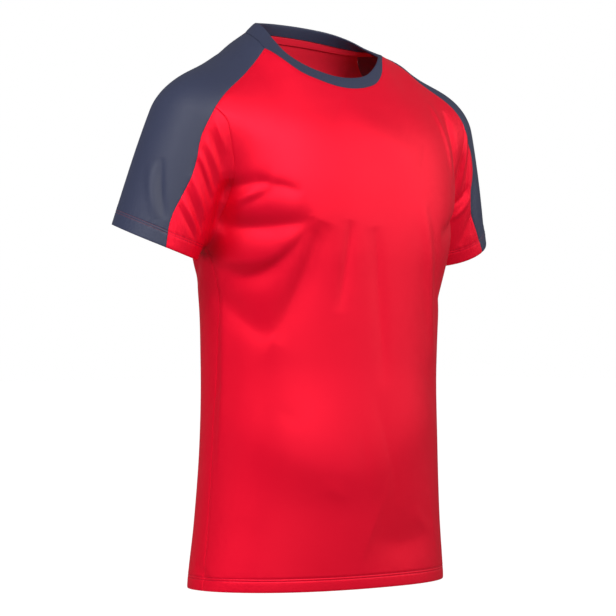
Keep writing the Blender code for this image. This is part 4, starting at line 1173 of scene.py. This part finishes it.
# A strip folded over at its top, which stands on the neck seam and leans in to the rim, an ellipse
# with its heights from a table. The profile of its two layers is carried round the seam: each point is
# the seam's + its share of the way up to the rim + so many walls square to that way.
def bandPiece(material):
    seam = fineRing()
    centre, half = np.array(band["rimCentre"]), np.array(band["rimHalf"])
    x, y = ((seam[:, :2] - centre) / half).T
    bearing = np.degrees(np.arctan2(y, x))
    bearing = (bearing - band["rim"][0, 0]) % 360 + band["rim"][0, 0]
    turn = np.radians(bearing)
    height = readCurve(band["rim"], bearing)[:, 0]
    level = centre + half * np.stack([np.cos(turn), np.sin(turn)], axis=1)
    rim = np.column_stack([level, height])
    facing = outward(seam)
    rise = rim - seam
    along = np.roll(seam, -1, axis=0) - np.roll(seam, 1, axis=0)
    lean = np.cross(along, rise)
    lean /= np.linalg.norm(lean, axis=1, keepdims=True)
    step = np.cross(facing, along)
    step *= cloth["seamGap"] / 2 / np.linalg.norm(step, axis=1, keepdims=True)
    outside, inside, innerSide, outerSide = (seam + step - facing * band["wall"] * deep
                                             for deep in band["foot"])
    strip, hollow = ([seam + rise * share + lean * out * band["wall"] for share, out in band[part]]
                     for part in ("profile", "hollow"))
    rings = np.concatenate([curveThrough([outside, *strip, inside], band["faceCuts"]),
                            curveThrough([innerSide, *hollow, outerSide], band["hollowCuts"])])
    count, stations = rings.shape[:2]
    index = np.arange(count * stations).reshape(count, stations)
    over = np.roll(index, -1, axis=0)
    faces = np.stack([index, np.roll(index, -1, axis=1), np.roll(over, -1, axis=1), over], axis=-1)
    around = np.broadcast_to(runningLength(seam[None], 1), (count, stations))
    uv = np.stack([around, runningLength(rings, 0)], axis=2)
    return meshPiece("collar", rings.reshape(-1, 3), faces.reshape(-1, 4), material, uv.reshape(-1, 2))


tape = {
    "wall": 0.0006,
    "clear": 0.0002,
    "top": 0.0012,                       # below the neck seam
    "depth": 0.0100,
    "rows": 9,
    "shoulderSteps": 5,                  # grid steps past the back seams
    "fine": 8,
}


# A narrow strip over the back neck seam, made from the panels' own points moved in: rows at even
# distances down from the seam, laid on the form and set off the cloth.
def tapePiece(material):
    reach = tape["shoulderSteps"]
    leftTop, rightTop, back = grids["left_sleeve_top"], grids["right_sleeve_top"], grids["back_panel"]
    edge = chain(leftTop[0, -reach - 1:], back[-1], rightTop[0, :-reach - 2:-1])
    below = chain(leftTop[1, -reach - 1:], back[-2], rightTop[1, :-reach - 2:-1])
    at = np.arange((len(edge) - 1) * tape["fine"] + 1) / tape["fine"]
    both = readSpline(np.stack([edge, below], axis=1), at).swapaxes(0, 1)
    edge, below = lay(both, layRounds["fine"])
    depth = np.linalg.norm(below - edge, axis=1, keepdims=True)
    down = np.linspace(tape["top"], tape["top"] + tape["depth"], tape["rows"])
    shares = down[:, None, None] / depth
    grid = lay(edge + (below - edge) * shares, layRounds["fine"])
    facing = outward(grid)
    outer = grid - facing * (cloth["wall"] + tape["clear"])
    uv = np.stack([runningLength(grid, 1), runningLength(grid, 0)], axis=2)
    return shellPiece("neck_tape", outer, outer - facing * tape["wall"], uv, material)


bandPiece(navyRib)
tapePiece(redTape)
print("neck band and tape are in")
